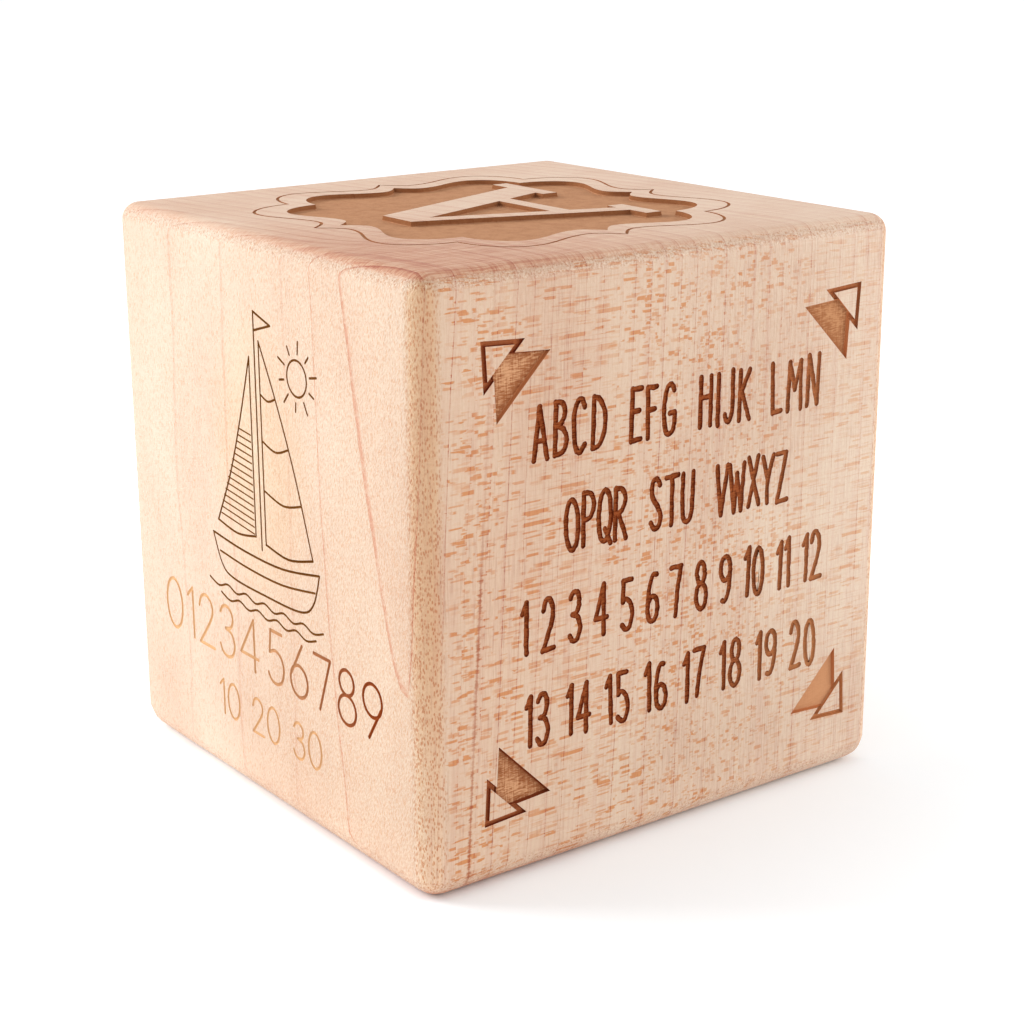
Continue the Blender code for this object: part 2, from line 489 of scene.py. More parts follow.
TALL_CAPITALS: dict[str, Glyph] = {
    "A": Glyph(1.6, (((0, 0), (0.8, 1)), ((0.8, 1), (1.6, 0)), ((0.32, 0.36), (1.3, 0.35)))),
    "B": Glyph(1.45, (((0, 0), (0, 1)), ((0, 1), (0.75, 0.97), (1.15, 0.8), (0.75, 0.6), (0.1, 0.55)),
        ((0.1, 0.55), (1.0, 0.47), (1.45, 0.25), (1.0, 0.04), (0, 0)))),
    "C": Glyph(1.4, (((1.4, 0.84), (1.1, 0.98), (0.6, 0.98), (0.1, 0.76), (0, 0.4), (0.25, 0.06), (0.75, 0),
        (1.35, 0.13)),)),
    "D": Glyph(1.5, (((0, 0), (0, 1)), ((0, 1), (0.75, 0.93), (1.4, 0.68), (1.45, 0.36), (0.9, 0.06),
        (0, 0)))),
    "E": Glyph(1.25, (((0, 0), (0, 1)), ((0, 1), (1.15, 0.99)), ((0, 0.56), (0.95, 0.57)), ((0, 0),
        (1.25, 0.02)))),
    "F": Glyph(1.15, (((0, 0), (0, 1)), ((0, 1), (1.15, 0.99)), ((0, 0.55), (0.9, 0.56)))),
    "G": Glyph(1.5, (((1.35, 0.87), (0.95, 1.0), (0.35, 0.9), (0, 0.5), (0.25, 0.08), (0.8, 0),
        (1.35, 0.14), (1.45, 0.42)), ((0.8, 0.42), (1.45, 0.42)))),
    "H": Glyph(1.4, (((0, 0), (0, 1)), ((0, 0.58), (1.4, 0.6)), ((1.4, 1), (1.4, 0)))),
    "I": Glyph(0.1, (((0.05, 0), (0.05, 1)),)),
    "J": Glyph(1.05, (((1.05, 1), (1.05, 0.55), (1.0, 0.2), (0.6, 0), (0.2, 0.03), (0, 0.14)),)),
    "K": Glyph(1.4, (((0, 0), (0, 1)), ((1.3, 1), (0, 0.46)), ((0.3, 0.56), (1.4, 0)))),
    "L": Glyph(1.2, (((0, 1), (0, 0)), ((0, 0), (1.2, 0.02)))),
    "M": Glyph(1.9, (((0, 0), (0.15, 1)), ((0.15, 1), (0.95, 0.42)), ((0.95, 0.42), (1.75, 1)), ((1.75, 1),
        (1.9, 0)))),
    "N": Glyph(1.45, (((0, 0), (0, 1)), ((0, 1), (1.45, 0)), ((1.45, 0), (1.45, 1)))),
    "O": Glyph(1.55, (loop(1.55, 0, 1),), (0,)),
    "P": Glyph(1.3, (((0, 0), (0, 1)), ((0, 1), (0.85, 0.97), (1.3, 0.76), (0.9, 0.53), (0, 0.47)))),
    "Q": Glyph(1.6, (loop(1.55, 0, 1), ((0.85, 0.24), (1.6, -0.05))), (0,)),
    "R": Glyph(1.45, (((0, 0), (0, 1)), ((0, 1), (0.8, 0.97), (1.25, 0.78), (0.85, 0.56), (0, 0.5)),
        ((0.4, 0.52), (1.45, 0)))),
    "S": Glyph(1.35, (((1.25, 0.87), (0.9, 0.99), (0.35, 0.96), (0.1, 0.76), (0.4, 0.57), (0.95, 0.42),
        (1.3, 0.22), (1.0, 0.03), (0.4, 0), (0, 0.12)),)),
    "T": Glyph(1.6, (((0.8, 0), (0.8, 1)), ((0, 0.98), (1.6, 1.0)))),
    "U": Glyph(1.4, (((0, 1), (0.02, 0.5), (0.15, 0.12), (0.7, 0), (1.25, 0.12), (1.38, 0.5), (1.4, 1)),)),
    "V": Glyph(1.5, (((0, 1), (0.75, 0)), ((0.75, 0), (1.5, 1)))),
    "W": Glyph(2.0, (((0, 1), (0.5, 0)), ((0.5, 0), (1.0, 0.8)), ((1.0, 0.8), (1.5, 0)), ((1.5, 0),
        (2.0, 1)))),
    "X": Glyph(1.45, (((0, 0), (1.4, 1)), ((0.05, 1), (1.45, 0)))),
    "Y": Glyph(1.5, (((0, 1), (0.72, 0.5)), ((1.5, 1), (0.72, 0.5), (0.6, 0)))),
    "Z": Glyph(1.4, (((0, 1), (1.35, 1)), ((1.35, 1), (0, 0)), ((0, 0), (1.4, 0.02)))),
    "0": Glyph(1.35, (loop(1.35, 0, 1),), (0,)),
    "1": Glyph(0.55, (((0.5, 0), (0.5, 1)), ((0, 0.8), (0.5, 1)))),
    "2": Glyph(1.35, (((0.05, 0.8), (0.3, 0.97), (0.8, 0.99), (1.2, 0.8), (1.05, 0.52), (0, 0)), ((0, 0),
        (1.35, 0.02)))),
    "3": Glyph(1.35, (((0.05, 0.88), (0.45, 1.0), (1.0, 0.96), (1.2, 0.77), (0.9, 0.58), (0.35, 0.54)),
        ((0.35, 0.54), (1.0, 0.48), (1.35, 0.25), (1.0, 0.03), (0.45, 0), (0, 0.12)))),
    "4": Glyph(1.45, (((1.05, 0), (1.05, 1)), ((1.05, 1), (0, 0.33)), ((0, 0.33), (1.45, 0.33)))),
    "5": Glyph(1.35, (((0.2, 1), (1.25, 1)), ((0.2, 1), (0.12, 0.57)), ((0.12, 0.57), (0.6, 0.62),
        (1.15, 0.5), (1.35, 0.27), (1.0, 0.03), (0.45, 0), (0, 0.1)))),
    "6": Glyph(1.35, (loop(1.35, 0, 0.52), ((1.1, 0.95), (0.6, 0.95), (0.15, 0.68), (0.0, 0.3))), (0,)),
    "7": Glyph(1.35, (((0, 1), (1.35, 1)), ((1.35, 1), (0.8, 0.5), (0.5, 0)))),
    "8": Glyph(1.4, (loop(1.1, 0.55, 1, 0.15), loop(1.4, 0, 0.55)), (0, 1)),
    "9": Glyph(1.35, (loop(1.35, 0.48, 1), ((0.25, 0.05), (0.75, 0.05), (1.2, 0.32), (1.35, 0.7))), (0,)),
}

ROUND_DIGITS: dict[str, Glyph] = {
    "0": Glyph(0.62, (loop(0.62, 0, 1),), (0,)),
    "1": Glyph(0.2, (((0.2, 0), (0.2, 1)), ((0, 0.82), (0.2, 1)))),
    "2": Glyph(0.56, (((0.02, 0.74), (0.1, 0.92), (0.28, 1.0), (0.46, 0.92), (0.53, 0.74), (0.42, 0.5),
        (0, 0)), ((0, 0), (0.56, 0)))),
    "3": Glyph(0.54, (((0.04, 0.84), (0.14, 0.96), (0.29, 1.0), (0.44, 0.93), (0.5, 0.77), (0.42, 0.61),
        (0.22, 0.55)), ((0.22, 0.55), (0.44, 0.49), (0.54, 0.28), (0.45, 0.07), (0.26, 0), (0.08, 0.06),
        (0, 0.19)))),
    "4": Glyph(0.64, (((0.5, 0), (0.5, 1)), ((0.5, 1), (0, 0.27)), ((0, 0.27), (0.64, 0.27)))),
    "5": Glyph(0.54, (((0.11, 1), (0.5, 1)), ((0.11, 1), (0.06, 0.57)), ((0.06, 0.57), (0.26, 0.64),
        (0.46, 0.55), (0.54, 0.33), (0.46, 0.09), (0.26, 0), (0.08, 0.05), (0, 0.16)))),
    "6": Glyph(0.58, (loop(0.58, 0, 0.6), ((0.42, 1), (0.03, 0.4))), (0,)),
    "7": Glyph(0.54, (((0, 1), (0.54, 1)), ((0.54, 1), (0.16, 0)))),
    "8": Glyph(0.56, (loop(0.46, 0.54, 1, 0.05), loop(0.56, 0, 0.54)), (0, 1)),
    "9": Glyph(0.58, (loop(0.58, 0.4, 1), ((0.16, 0), (0.55, 0.6))), (0,)),
}


@dataclass
class CharacterLine:
    """One row of characters, spread to a given width. Its base is the height over the block's foot."""

    words: str
    width: float
    height: float
    base: float
    middle: float
    pen: Pen
    glyphs: Mapping[str, Glyph]
    scale: float
    gap: float
    smooth: int = 4
    unsteady: float = 0.0
    shake: float = 0.0
    seed: int = 1
    most_lean: float = 0.035
    most_drop: float = 0.16
    most_growth: float = 0.025
    shake_step: float = 0.5

    def layers(self) -> list[list[PenLine]]:
        """The row's pen lines in layers, so that no two lines of one layer touch.

        Returns:
            One list of lines for each layer.
        """
        dice = random.Random(self.seed)
        wide = [self.glyphs[c].width * self.scale if c != " " else 0.0 for c in self.words]
        gaps = sum(a != " " and b != " " for a, b in zip(self.words, self.words[1:]))
        breaks = max(1, self.words.count(" "))
        spare = self.width - self.pen.width - sum(wide) - gaps * self.gap
        wide = [width + (spare / breaks if c == " " else 0.0) for c, width in zip(self.words, wide)]
        x = self.middle - self.width / 2 + self.pen.width / 2
        low = self.base - SIZE.height / 2 + self.pen.width / 2
        rise = self.height - self.pen.width
        layers: dict[int, list[PenLine]] = {}
        for character, after, width in zip(self.words, self.words[1:] + " ", wide):
            if character != " ":
                glyph = self.glyphs[character]
                lean = dice.uniform(-1, 1) * self.most_lean * self.unsteady
                drop = dice.uniform(-1, 1) * self.most_drop * self.unsteady
                tall = rise * (1 + dice.uniform(-1, 1) * self.most_growth * self.unsteady)
                for layer, stroke in enumerate(glyph.strokes):
                    closed = layer in glyph.closed
                    placed = [
                        (x + px * self.scale + lean * py * rise, low + drop + py * tall) for px, py in stroke
                    ]
                    path = smooth_path(placed, self.smooth, closed)
                    if self.shake:
                        path = [
                            (px + dice.gauss(0, self.shake), py + dice.gauss(0, self.shake))
                            for px, py in closer_points(path, self.shake_step, closed)
                        ]
                    layers.setdefault(layer, []).append(PenLine(path, closed))
            x += width
            if character != " " and after != " ":
                x += self.gap
        return [layers[key] for key in sorted(layers)]

    def carve(self, block: bpy.types.Object, name: str, place: Matrix) -> None:
        """Cuts the row into the side whose matrix is given."""
        self.pen.carve(block, name, self.layers(), place)


# Shader maths


class Shade:
    """One number that varies over a surface. Its operators add Math nodes to the tree."""

    def __init__(self, easel: "Easel", socket: bpy.types.NodeSocket) -> None:
        """Keeps the tree and the output socket that gives the number."""
        self.easel = easel
        self.socket = socket

    def __add__(self, other: "Shade | float") -> "Shade":
        """The sum of the two."""
        return self.easel.maths("ADD", self, other)

    def __radd__(self, other: float) -> "Shade":
        """The sum of the two."""
        return self.easel.maths("ADD", other, self)

    def __sub__(self, other: "Shade | float") -> "Shade":
        """This number less the other."""
        return self.easel.maths("SUBTRACT", self, other)

    def __rsub__(self, other: float) -> "Shade":
        """The other number less this one."""
        return self.easel.maths("SUBTRACT", other, self)

    def __mul__(self, other: "Shade | float") -> "Shade":
        """The product of the two."""
        return self.easel.maths("MULTIPLY", self, other)

    def __truediv__(self, other: "Shade | float") -> "Shade":
        """This number over the other."""
        return self.easel.maths("DIVIDE", self, other)

    def __pow__(self, other: float) -> "Shade":
        """This number to that power."""
        return self.easel.maths("POWER", self, other)

    def __abs__(self) -> "Shade":
        """This number without its sign."""
        return self.easel.maths("ABSOLUTE", self)

    def floor(self) -> "Shade":
        """The whole number below."""
        return self.easel.maths("FLOOR", self)

    def most(self, other: "Shade | float") -> "Shade":
        """The greater of the two."""
        return self.easel.maths("MAXIMUM", self, other)

    def least(self, other: "Shade | float") -> "Shade":
        """The smaller of the two."""
        return self.easel.maths("MINIMUM", self, other)

    def rise(self, low: float, high: float) -> "Shade":
        """Goes smoothly from 0 at low to 1 at high, also where low is the greater.

        Args:
            low: The value that gives 0.
            high: The value that gives 1.

        Returns:
            A number from 0 to 1.
        """
        first, last = (0.0, 1.0) if low < high else (1.0, 0.0)
        source = {"Value": self, "From Min": min(low, high), "From Max": max(low, high)}
        values = {**source, "To Min": first, "To Max": last}
        node = self.easel.node("ShaderNodeMapRange", {"interpolation_type": "SMOOTHSTEP"}, values)
        return Shade(self.easel, node.outputs["Result"])

    def eased(self, gain: float, offset: float) -> "Shade":
        """The number times the gain, plus the offset, eased into the range from 0 to 1."""
        return (self * gain + offset).rise(0.0, 1.0)


@dataclass(frozen=True)
class Place:
    """A point on the block in millimetres, as three varying numbers."""

    x: Shade
    y: Shade
    z: Shade

    def over(self, x: float, y: float, z: float) -> bpy.types.NodeSocket:
        """The point as a vector, counted in lumps of these sizes."""
        return self.x.easel.vector(self.x / x, self.y / y, self.z / z)

    def noise(self, x: float, y: float, z: float, detail: float = 2.0, rough: float = 0.5) -> Shade:
        """Soft noise about zero in lumps of these sizes."""
        return self.x.easel.noise(self.over(x, y, z), detail, rough)


Colour = tuple[float, float, float]
Input = object


class Easel:
    """A material's node tree, on which finishes are painted."""

    def __init__(self, name: str) -> None:
        """Makes the material with an empty tree.

        Args:
            name: The material's name.
        """
        self.material = bpy.data.materials.new(name)
        self.material.use_nodes = True
        self.tree = self.material.node_tree
        self.tree.nodes.clear()

    def node(
        self,
        kind: str,
        settings: Mapping[str, object] | None = None,
        values: Mapping[str | int, Input] | None = None,
    ) -> bpy.types.Node:
        """Adds one node.

        Args:
            kind: The node's type.
            settings: Its own settings.
            values: Numbers, colours or links for its input sockets, by name or number.

        Returns:
            The node.
        """
        node = self.tree.nodes.new(kind)
        for name, setting in (settings or {}).items():
            setattr(node, name, setting)
        for key, value in (values or {}).items():
            socket = node.inputs[key]
            if isinstance(value, Shade):
                self.tree.links.new(value.socket, socket)
            elif isinstance(value, bpy.types.NodeSocket):
                self.tree.links.new(value, socket)
            elif socket.type == "RGBA" and len(value) == 3:
                socket.default_value = (*value, 1.0)
            else:
                socket.default_value = value
        return node

    def maths(self, operation: str, *terms: Shade | float) -> Shade:
        """Adds a Math node on one or two terms.

        Args:
            operation: The node's operation.
            terms: Its terms.

        Returns:
            The result.
        """
        node = self.node("ShaderNodeMath", {"operation": operation}, dict(enumerate(terms)))
        return Shade(self, node.outputs[0])

    def place(self) -> Place:
        """The point that is shaded, in millimetres on the block."""
        metres = self.node("ShaderNodeTexCoord").outputs["Object"]
        scaled = self.node("ShaderNodeVectorMath", {"operation": "SCALE"}, {0: metres, "Scale": 1 / MM})
        return self.split(scaled.outputs[0])

    def facing(self) -> Place:
        """The surface's own direction, as three numbers from -1 to 1."""
        return self.split(self.node("ShaderNodeTexCoord").outputs["Normal"])

    def split(self, vector: bpy.types.NodeSocket) -> Place:
        """A vector as three numbers."""
        node = self.node("ShaderNodeSeparateXYZ", values={0: vector})
        return Place(*(Shade(self, node.outputs[i]) for i in range(3)))

    def vector(self, x: Shade | float, y: Shade | float, z: Shade | float) -> bpy.types.NodeSocket:
        """Three numbers as one vector."""
        return self.node("ShaderNodeCombineXYZ", values={0: x, 1: y, 2: z}).outputs[0]

    def noise(self, vector: bpy.types.NodeSocket, detail: float = 2.0, rough: float = 0.5) -> Shade:
        """Soft noise about zero, from about -0.5 to 0.5.

        Args:
            vector: Where to read it. One unit is one lump.
            detail: How many finer layers it has.
            rough: How strong the finer layers are.

        Returns:
            The noise.
        """
        values = {"Vector": vector, "Scale": 1.0, "Detail": detail, "Roughness": rough}
        return Shade(self, self.node("ShaderNodeTexNoise", values=values).outputs[0]) - 0.5

    def chance(self, number: Shade) -> Shade:
        """A random number from 0 to 1 that is the same wherever the given number is."""
        node = self.node("ShaderNodeTexWhiteNoise", {"noise_dimensions": "1D"}, {"W": number})
        return Shade(self, node.outputs["Value"])

    def cells(self, vector: bpy.types.NodeSocket, metric: str = "EUCLIDEAN") -> tuple[Shade, Shade]:
        """Scattered cells of one unit.

        Args:
            vector: Where to read them.
            metric: How distance is taken, which sets their outline.

        Returns:
            The distance to the nearest cell's middle, and that cell's own random number.
        """
        node = self.node("ShaderNodeTexVoronoi", {"distance": metric}, {"Vector": vector, "Scale": 1.0})
        split = self.node("ShaderNodeSeparateColor", values={0: node.outputs["Color"]})
        return Shade(self, node.outputs["Distance"]), Shade(self, split.outputs[0])

    def blend(
        self, share: Shade | float, first: Input, second: Input, how: str = "MIX"
    ) -> bpy.types.NodeSocket:
        """Mixes two colours.

        Args:
            share: How much of the second shows.
            first: A colour or a link.
            second: A colour or a link.
            how: The mix node's blend type.

        Returns:
            The mixed colour's socket.
        """
        settings = {"data_type": "RGBA", "blend_type": how}
        return self.node("ShaderNodeMix", settings, {0: share, 6: first, 7: second}).outputs[2]

    def tinted(self, paint: Input, *layers: "Layer") -> Input:
        """Lays tints over a paint.

        Args:
            paint: A colour or a link.
            layers: Pairs of a tint's share and the tint, in order.

        Returns:
            The tinted colour's socket.
        """
        for share, tint in layers:
            paint = self.blend(share, paint, tint, "MULTIPLY")
        return paint

    def finish(
        self,
        colour: bpy.types.NodeSocket,
        roughness: Shade | float,
        relief: Shade,
        relief_depth: float,
        sheen: float = 0.5,
    ) -> bpy.types.Material:
        """Ends the tree in a Principled shader.

        Args:
            colour: The base colour.
            roughness: The roughness.
            relief: The height of the fine relief, from 0 to 1.
            relief_depth: What a height of 1 is, in millimetres.
            sheen: How strongly the surface mirrors light, 0.5 for an oiled one.

        Returns:
            The material.
        """
        heights = {"Strength": 1.0, "Distance": relief_depth * MM, "Height": relief}
        bump = self.node("ShaderNodeBump", values=heights)
        return self.surface(
            {
                "Base Color": colour,
                "Roughness": roughness,
                "Specular IOR Level": sheen,
                "Normal": bump.outputs[0],
            }
        )

    def surface(self, values: Mapping[str, Input]) -> bpy.types.Material:
        """Ends the tree in a Principled shader with these inputs, and gives the material."""
        shader = self.node("ShaderNodeBsdfPrincipled", values=values)
        self.node("ShaderNodeOutputMaterial", values={"Surface": shader.outputs[0]})
        return self.material


# Finishes


Layer = tuple[Shade | float, Colour]


@dataclass(frozen=True)
class RayLayer:
    """One kind of ray: thin upright ribbons of one size, in millimetres."""

    length: float
    thick: float
    tall: float
    part: float
    strength: float


@dataclass(frozen=True)
class Spot:
    """What the wood is like at the point that is shaded, from 0 to 1.

    The first three are how nearly the surface looks along Z, X and Y. Then come the nearness of an
    upright edge, a ring's dark line, the soft shade before it and the ring's own random number, the ray
    flecks and the fine threads between them, and the nearness of the red corner. The last one is how
    far out in the tree the point lies, in millimetres.
    """

    end: Shade
    flat: Shade
    front: Shade
    arris: Shade
    line: Shade
    shade: Shade
    own: Shade
    rays: Shade
    threads: Shade
    heart: Shade
    out: Shade


@dataclass(frozen=True)
class MapleGrain:
    """Hard maple as a solid: growth rings, rays that cross them, and fibres along Z."""

    ring_pitch: float = 2.2
    ring_phase: float = 31.18
    ring_seed: float = 3.0
    main_ring: float = 25.19
    bow: float = 0.19
    bow_from: float = -27.0
    bow_width: float = 4.0
    ray_layers: tuple[RayLayer, ...] = (
        RayLayer(4.4, 0.17, 0.56, 0.34, 1.0),
        RayLayer(2.0, 0.16, 0.40, 0.54, 0.9),
        RayLayer(3.0, 0.12, 0.24, 0.52, 0.65),
    )
    pale: Colour = (0.680, 0.535, 0.402)
    warm: Colour = (0.635, 0.460, 0.330)
    # Painted light: the wood paler towards +X.
    far_right_painted_light: Colour = (1.04, 1.06, 1.08)
    high_tint: Colour = (0.93, 0.90, 0.88)
    heart_tint: Colour = (0.96, 0.86, 0.80)
    fibre_tint: Colour = (0.86, 0.78, 0.77)
    pore_tint: Colour = (0.90, 0.80, 0.72)
    pebble_tint: Colour = (0.91, 0.79, 0.72)
    back_tint: Colour = (1.0, 0.985, 0.99)
    thread_tint: Colour = (0.90, 0.66, 0.56)
    band_tint: Colour = (0.92, 0.80, 0.80)
    ring_tint: Colour = (0.79, 0.54, 0.47)
    main_tint: Colour = (0.62, 0.30, 0.16)
    flat_ring_tint: Colour = (0.88, 0.60, 0.50)
    ray_tint: Colour = (0.87, 0.50, 0.24)
    crossing_tint: Colour = (0.80, 0.50, 0.38)
    dot_tint: Colour = (0.76, 0.48, 0.31)
    dash_tint: Colour = (0.66, 0.30, 0.20)
    end_tint: Colour = (1.12, 1.06, 1.04)
    # Painted light: the top paler away from the near corner.
    end_far_painted_light: Colour = (1.03, 1.06, 1.09)
    end_heart_tint: Colour = (0.96, 0.89, 0.85)
    end_band_tint: Colour = (0.82, 0.58, 0.52)
    end_beam_tint: Colour = (0.82, 0.62, 0.55)

    def growth(self, at: Place) -> Shade:
        """How far out in the tree a point lies, in millimetres across the rings.

        Args:
            at: The point.

        Returns:
            The distance.
        """
        sway = at.noise(17, 17, 48)
        ripple = at.noise(2.6, 2.6, 9)
        across = at.y - self.bow_from
        bowed = (across * across + self.bow_width**2) ** 0.5 * self.bow
        lean = at.x.rise(31.0, -24.0) * 0.066 - at.x.rise(-23.5, -31.0) * 0.030
        return at.x + bowed - at.z * lean * at.y.rise(-6.0, -18.0) + sway * 0.8 + ripple * 0.14

    def rings(self, at: Place) -> tuple[Shade, Shade, Shade, Shade]:
        """The thin dark line that ends each year's growth.

        Args:
            at: The point.

        Returns:
            The line's strength, the soft shade before it, the ring's own random number, and how far out
            the point lies.
        """
        easel = at.x.easel
        out = self.growth(at)
        uneven = easel.noise(easel.vector(out / 5.5, 0.0, 0.0), 1.0)
        turn = (out + self.ring_phase) / self.ring_pitch + uneven * 0.5
        ring = turn.floor()
        left = (1.0 - (turn - ring)) * self.ring_pitch
        along_ring = at.x.rise(-30.0, -30.9) * at.y.rise(-14.0, -22.0) * at.z.rise(38.0, 20.0)
        slim = 1.0 - along_ring * 0.72
        own = easel.chance(ring + self.ring_seed)
        broken = at.noise(1.5, 1.5, 0.7).rise(-0.16, 0.1)
        line = (left / slim).rise(0.12, 0.03) * (0.25 + own * 0.75) * (0.45 + broken * 0.55)
        shade = left.rise(1.0, 0.0) * (0.2 + own * 0.8)
        return line, shade, own, out

    def rays(self, at: Place, ring_own: Shade) -> tuple[Shade, Shade]:
        """The rays: thin upright ribbons that run across the rings and show as flecks.

        Args:
            at: The point.
            ring_own: The ring's own random number, which shifts the flecks from ring to ring.

        Returns:
            The strength of the flecks and of the fine threads between them, from 0 to 1.
        """
        easel = at.x.easel
        drift = at.noise(9, 30, 14, 1.0)
        turned = at.x.rise(-30.0, -19.0) * 0.5 + at.x.rise(-9.0, 20.0) * 3.2
        side = at.y + at.x * 0.02 + turned + drift * 0.35 + ring_own * 0.05
        ragged = at.noise(0.9, 0.2, 0.10)
        flecks: list[Shade] = []
        for layer in self.ray_layers:
            where = easel.vector(at.x / layer.length, side / layer.thick, at.z / layer.tall)
            distance, own = easel.cells(where, "CHEBYCHEV")
            inside = (distance + ragged * 0.14).rise(0.44, 0.25)
            rim = inside * (1.0 - inside) * 0.9
            chosen = own.rise(layer.part, 0.0)
            flecks.append((inside * 0.85 + rim) * (chosen * 0.5 + chosen * chosen * 1.1) * layer.strength)
        crowd = at.noise(7, 7, 5).rise(-0.22, 0.1)
        straight = at.x.rise(-20.0, -16.5) * at.x.rise(-7.0, -10.0) + at.x.rise(16.0, 21.0)
        thread = easel.noise(easel.vector(at.x / 4.5, side / 0.8, at.z / 0.10), 1.0)
        threads = thread.rise(0.06, 0.24) * (0.25 + straight * 0.75)
        shown = (0.6 + crowd * 0.4) * (0.8 + ring_own * 0.25 + at.x.rise(-19.0, -26.0) * 0.3)
        shown = shown * (1.0 - at.x.rise(2.0, 24.0) * 0.45)
        return (flecks[0].most(flecks[1]).most(flecks[2]) * shown).least(1.0), threads

    def spot(self, at: Place, patches: Shade) -> Spot:
        """What the wood is like at a point.

        Args:
            at: The point.
            patches: Soft noise that makes the red corner's outline uneven.

        Returns:
            All that the paint needs to know.
        """
        line, shade, own, out = self.rings(at)
        rays, threads = self.rays(at, own)
        facing = at.x.easel.facing()
        end = abs(facing.z).rise(0.55, 0.85)
        flat = abs(facing.x).rise(0.6, 0.9)
        near = ((at.x + SIZE.width / 2) ** 2.0 + (at.y + SIZE.depth / 2) ** 2.0) ** 0.5
        return Spot(
            end=end,
            flat=flat,
            front=(1.0 - flat) * (1.0 - end),
            arris=(abs(facing.x) * abs(facing.y)).rise(0.06, 0.30),
            line=line,
            shade=shade,
            own=own,
            rays=rays,
            threads=threads,
            heart=(near + patches * 9.0).rise(46.0, 2.0),
            out=out,
        )

    def ring_marks(self, at: Place, spot: Spot) -> list[Layer]:
        """The rings' lines, and the one bold line with its barbs on the front.

        Args:
            at: The point.
            spot: What the wood is like there.

        Returns:
            The tints to lay on, in order.
        """
        barbs = at.noise(0.9, 0.3, 0.30, 3.0, 0.6)
        bold = at.noise(20, 20, 3.5, 1.0).rise(-0.15, 0.15)
        beside = abs(spot.out + self.main_ring)
        lone = beside.rise(1.1, 0.9) * spot.front
        soft = spot.shade * (0.12 + spot.end * (0.2 + spot.heart * 0.35))
        mark = (spot.line * 0.95 * (1.0 - lone) + soft).least(1.0)
        core = (beside + barbs * 0.9 + 0.03).rise(0.30, 0.0).most(beside.rise(0.13, 0.03) * 0.7)
        shown = (0.3 + at.z.rise(37.0, 31.0) * 0.7) * (0.6 + bold * 0.4)
        faint = 1.0 - at.y.rise(-4.0, 12.0) * 0.6
        thin = (spot.line * 1.25 + spot.shade * 0.10).least(1.0) * spot.flat * faint
        return [
            (mark * (1.0 - spot.flat) * (1.0 - spot.arris * 0.6), self.ring_tint),
            (core * lone * shown, self.main_tint),
            (thin, self.flat_ring_tint),
        ]

    def fleck_marks(self, at: Place, spot: Spot) -> list[Layer]:
        """The ray flecks, the dots on the upright edges and the dashes along the rings.

        Args:
            at: The point.
            spot: What the wood is like there.

        Returns:
            The tints to lay on, in order.
        """
        fleck = spot.rays * (1.0 - spot.end * 0.75) * (1.0 - spot.flat * 0.5) * (1.0 - spot.arris)
        near_dot, dot_own = at.x.easel.cells(at.over(0.19, 0.19, 0.46))
        low = 0.85 + at.z.rise(52.0, 22.0) * 0.15
        dashes = spot.line * at.noise(0.5, 0.5, 0.9).rise(0.0, 0.14) * spot.own.rise(0.6, 0.95)
        return [
            (fleck, self.ray_tint),
            ((fleck * spot.line * 5.0).least(1.0) * (1.0 - spot.flat), self.crossing_tint),
            (near_dot.rise(0.54, 0.28) * dot_own.rise(0.98, 0.46) * spot.arris * low, self.dot_tint),
            (dashes * (1.0 - spot.flat) * (1.0 - spot.end), self.dash_tint),
        ]

    def colour(self, at: Place) -> tuple[Input, Shade, Shade]:
        """Bare sanded maple.

        Args:
            at: The point.

        Returns:
            The colour, the height of its relief, and the rays' strength.
        """
        easel = at.x.easel
        patches = at.noise(13, 13, 24, 3.0)
        fibres = at.noise(0.16, 0.16, 3.2, 1.0)
        pores = at.noise(0.34, 0.15, 0.36, 2.0, 0.6)
        skewed = easel.vector(at.x / 0.2, (at.y + at.z * 0.45) / 0.18, (at.z - at.y * 0.45) / 0.46)
        pebbles = easel.noise(skewed, 2.0, 0.6)
        spot = self.spot(at, patches)
        bands = easel.noise(easel.vector(spot.out / 0.30, at.y / 14, at.z / 20), 2.0, 0.6)
        beams = at.noise(5.0, 0.22, 0.9, 2.0, 0.6)
        end, flat, front, heart = spot.end, spot.flat, spot.front, spot.heart
        high = at.x.rise(-34.0, -16.0) * at.z.rise(22.0, 50.0) * (1.0 - end) * (1.0 - flat)
        lines = (fibres * 3.0 + patches * 1.5 + 0.1).rise(0.0, 1.0) * (1.0 - flat * 0.6)
        rough = flat * (0.25 + at.y.rise(10.0, -12.0) * (0.75 + at.z.rise(42.0, 8.0) * 0.5))
        wood = easel.tinted(
            easel.blend(patches.eased(1.7, 0.5), self.pale, self.warm),
            # Painted light: paler towards +X.
            (at.x.rise(8.0, 31.0), self.far_right_painted_light),
            (high, self.high_tint),
            (heart * (0.75 + end * 0.25 - flat * 0.6), self.heart_tint),
            (lines * (1.0 - end * 0.6), self.fibre_tint),
            (pores.eased(2.6, 0.4) * 0.25 * (1.0 - flat), self.pore_tint),
            (pebbles.eased(5.0, 0.4) * rough, self.pebble_tint),
            (flat * at.y.rise(-8.0, 18.0), self.back_tint),
            (spot.threads * front * 0.6, self.thread_tint),
            (bands.eased(3.5, 0.4) * front * 0.5, self.band_tint),
            *self.ring_marks(at, spot),
            *self.fleck_marks(at, spot),
            (end, self.end_tint),
            # Painted light: the top paler away from the near corner.
            (end * (1.0 - heart), self.end_far_painted_light),
            (end * heart, self.end_heart_tint),
            (end * bands.eased(5.0, 0.35) * (0.25 + heart * 0.50), self.end_band_tint),
            (end * beams.eased(8.0, 0.35) * (0.2 + heart * 0.8), self.end_beam_tint),
        )
        relief = 0.5 + pores * 0.8 + fibres * 0.4 + pebbles * flat * 2.6 + beams * end * 0.8
        return wood, relief - spot.rays * 0.15 - spot.line * 0.3, spot.rays


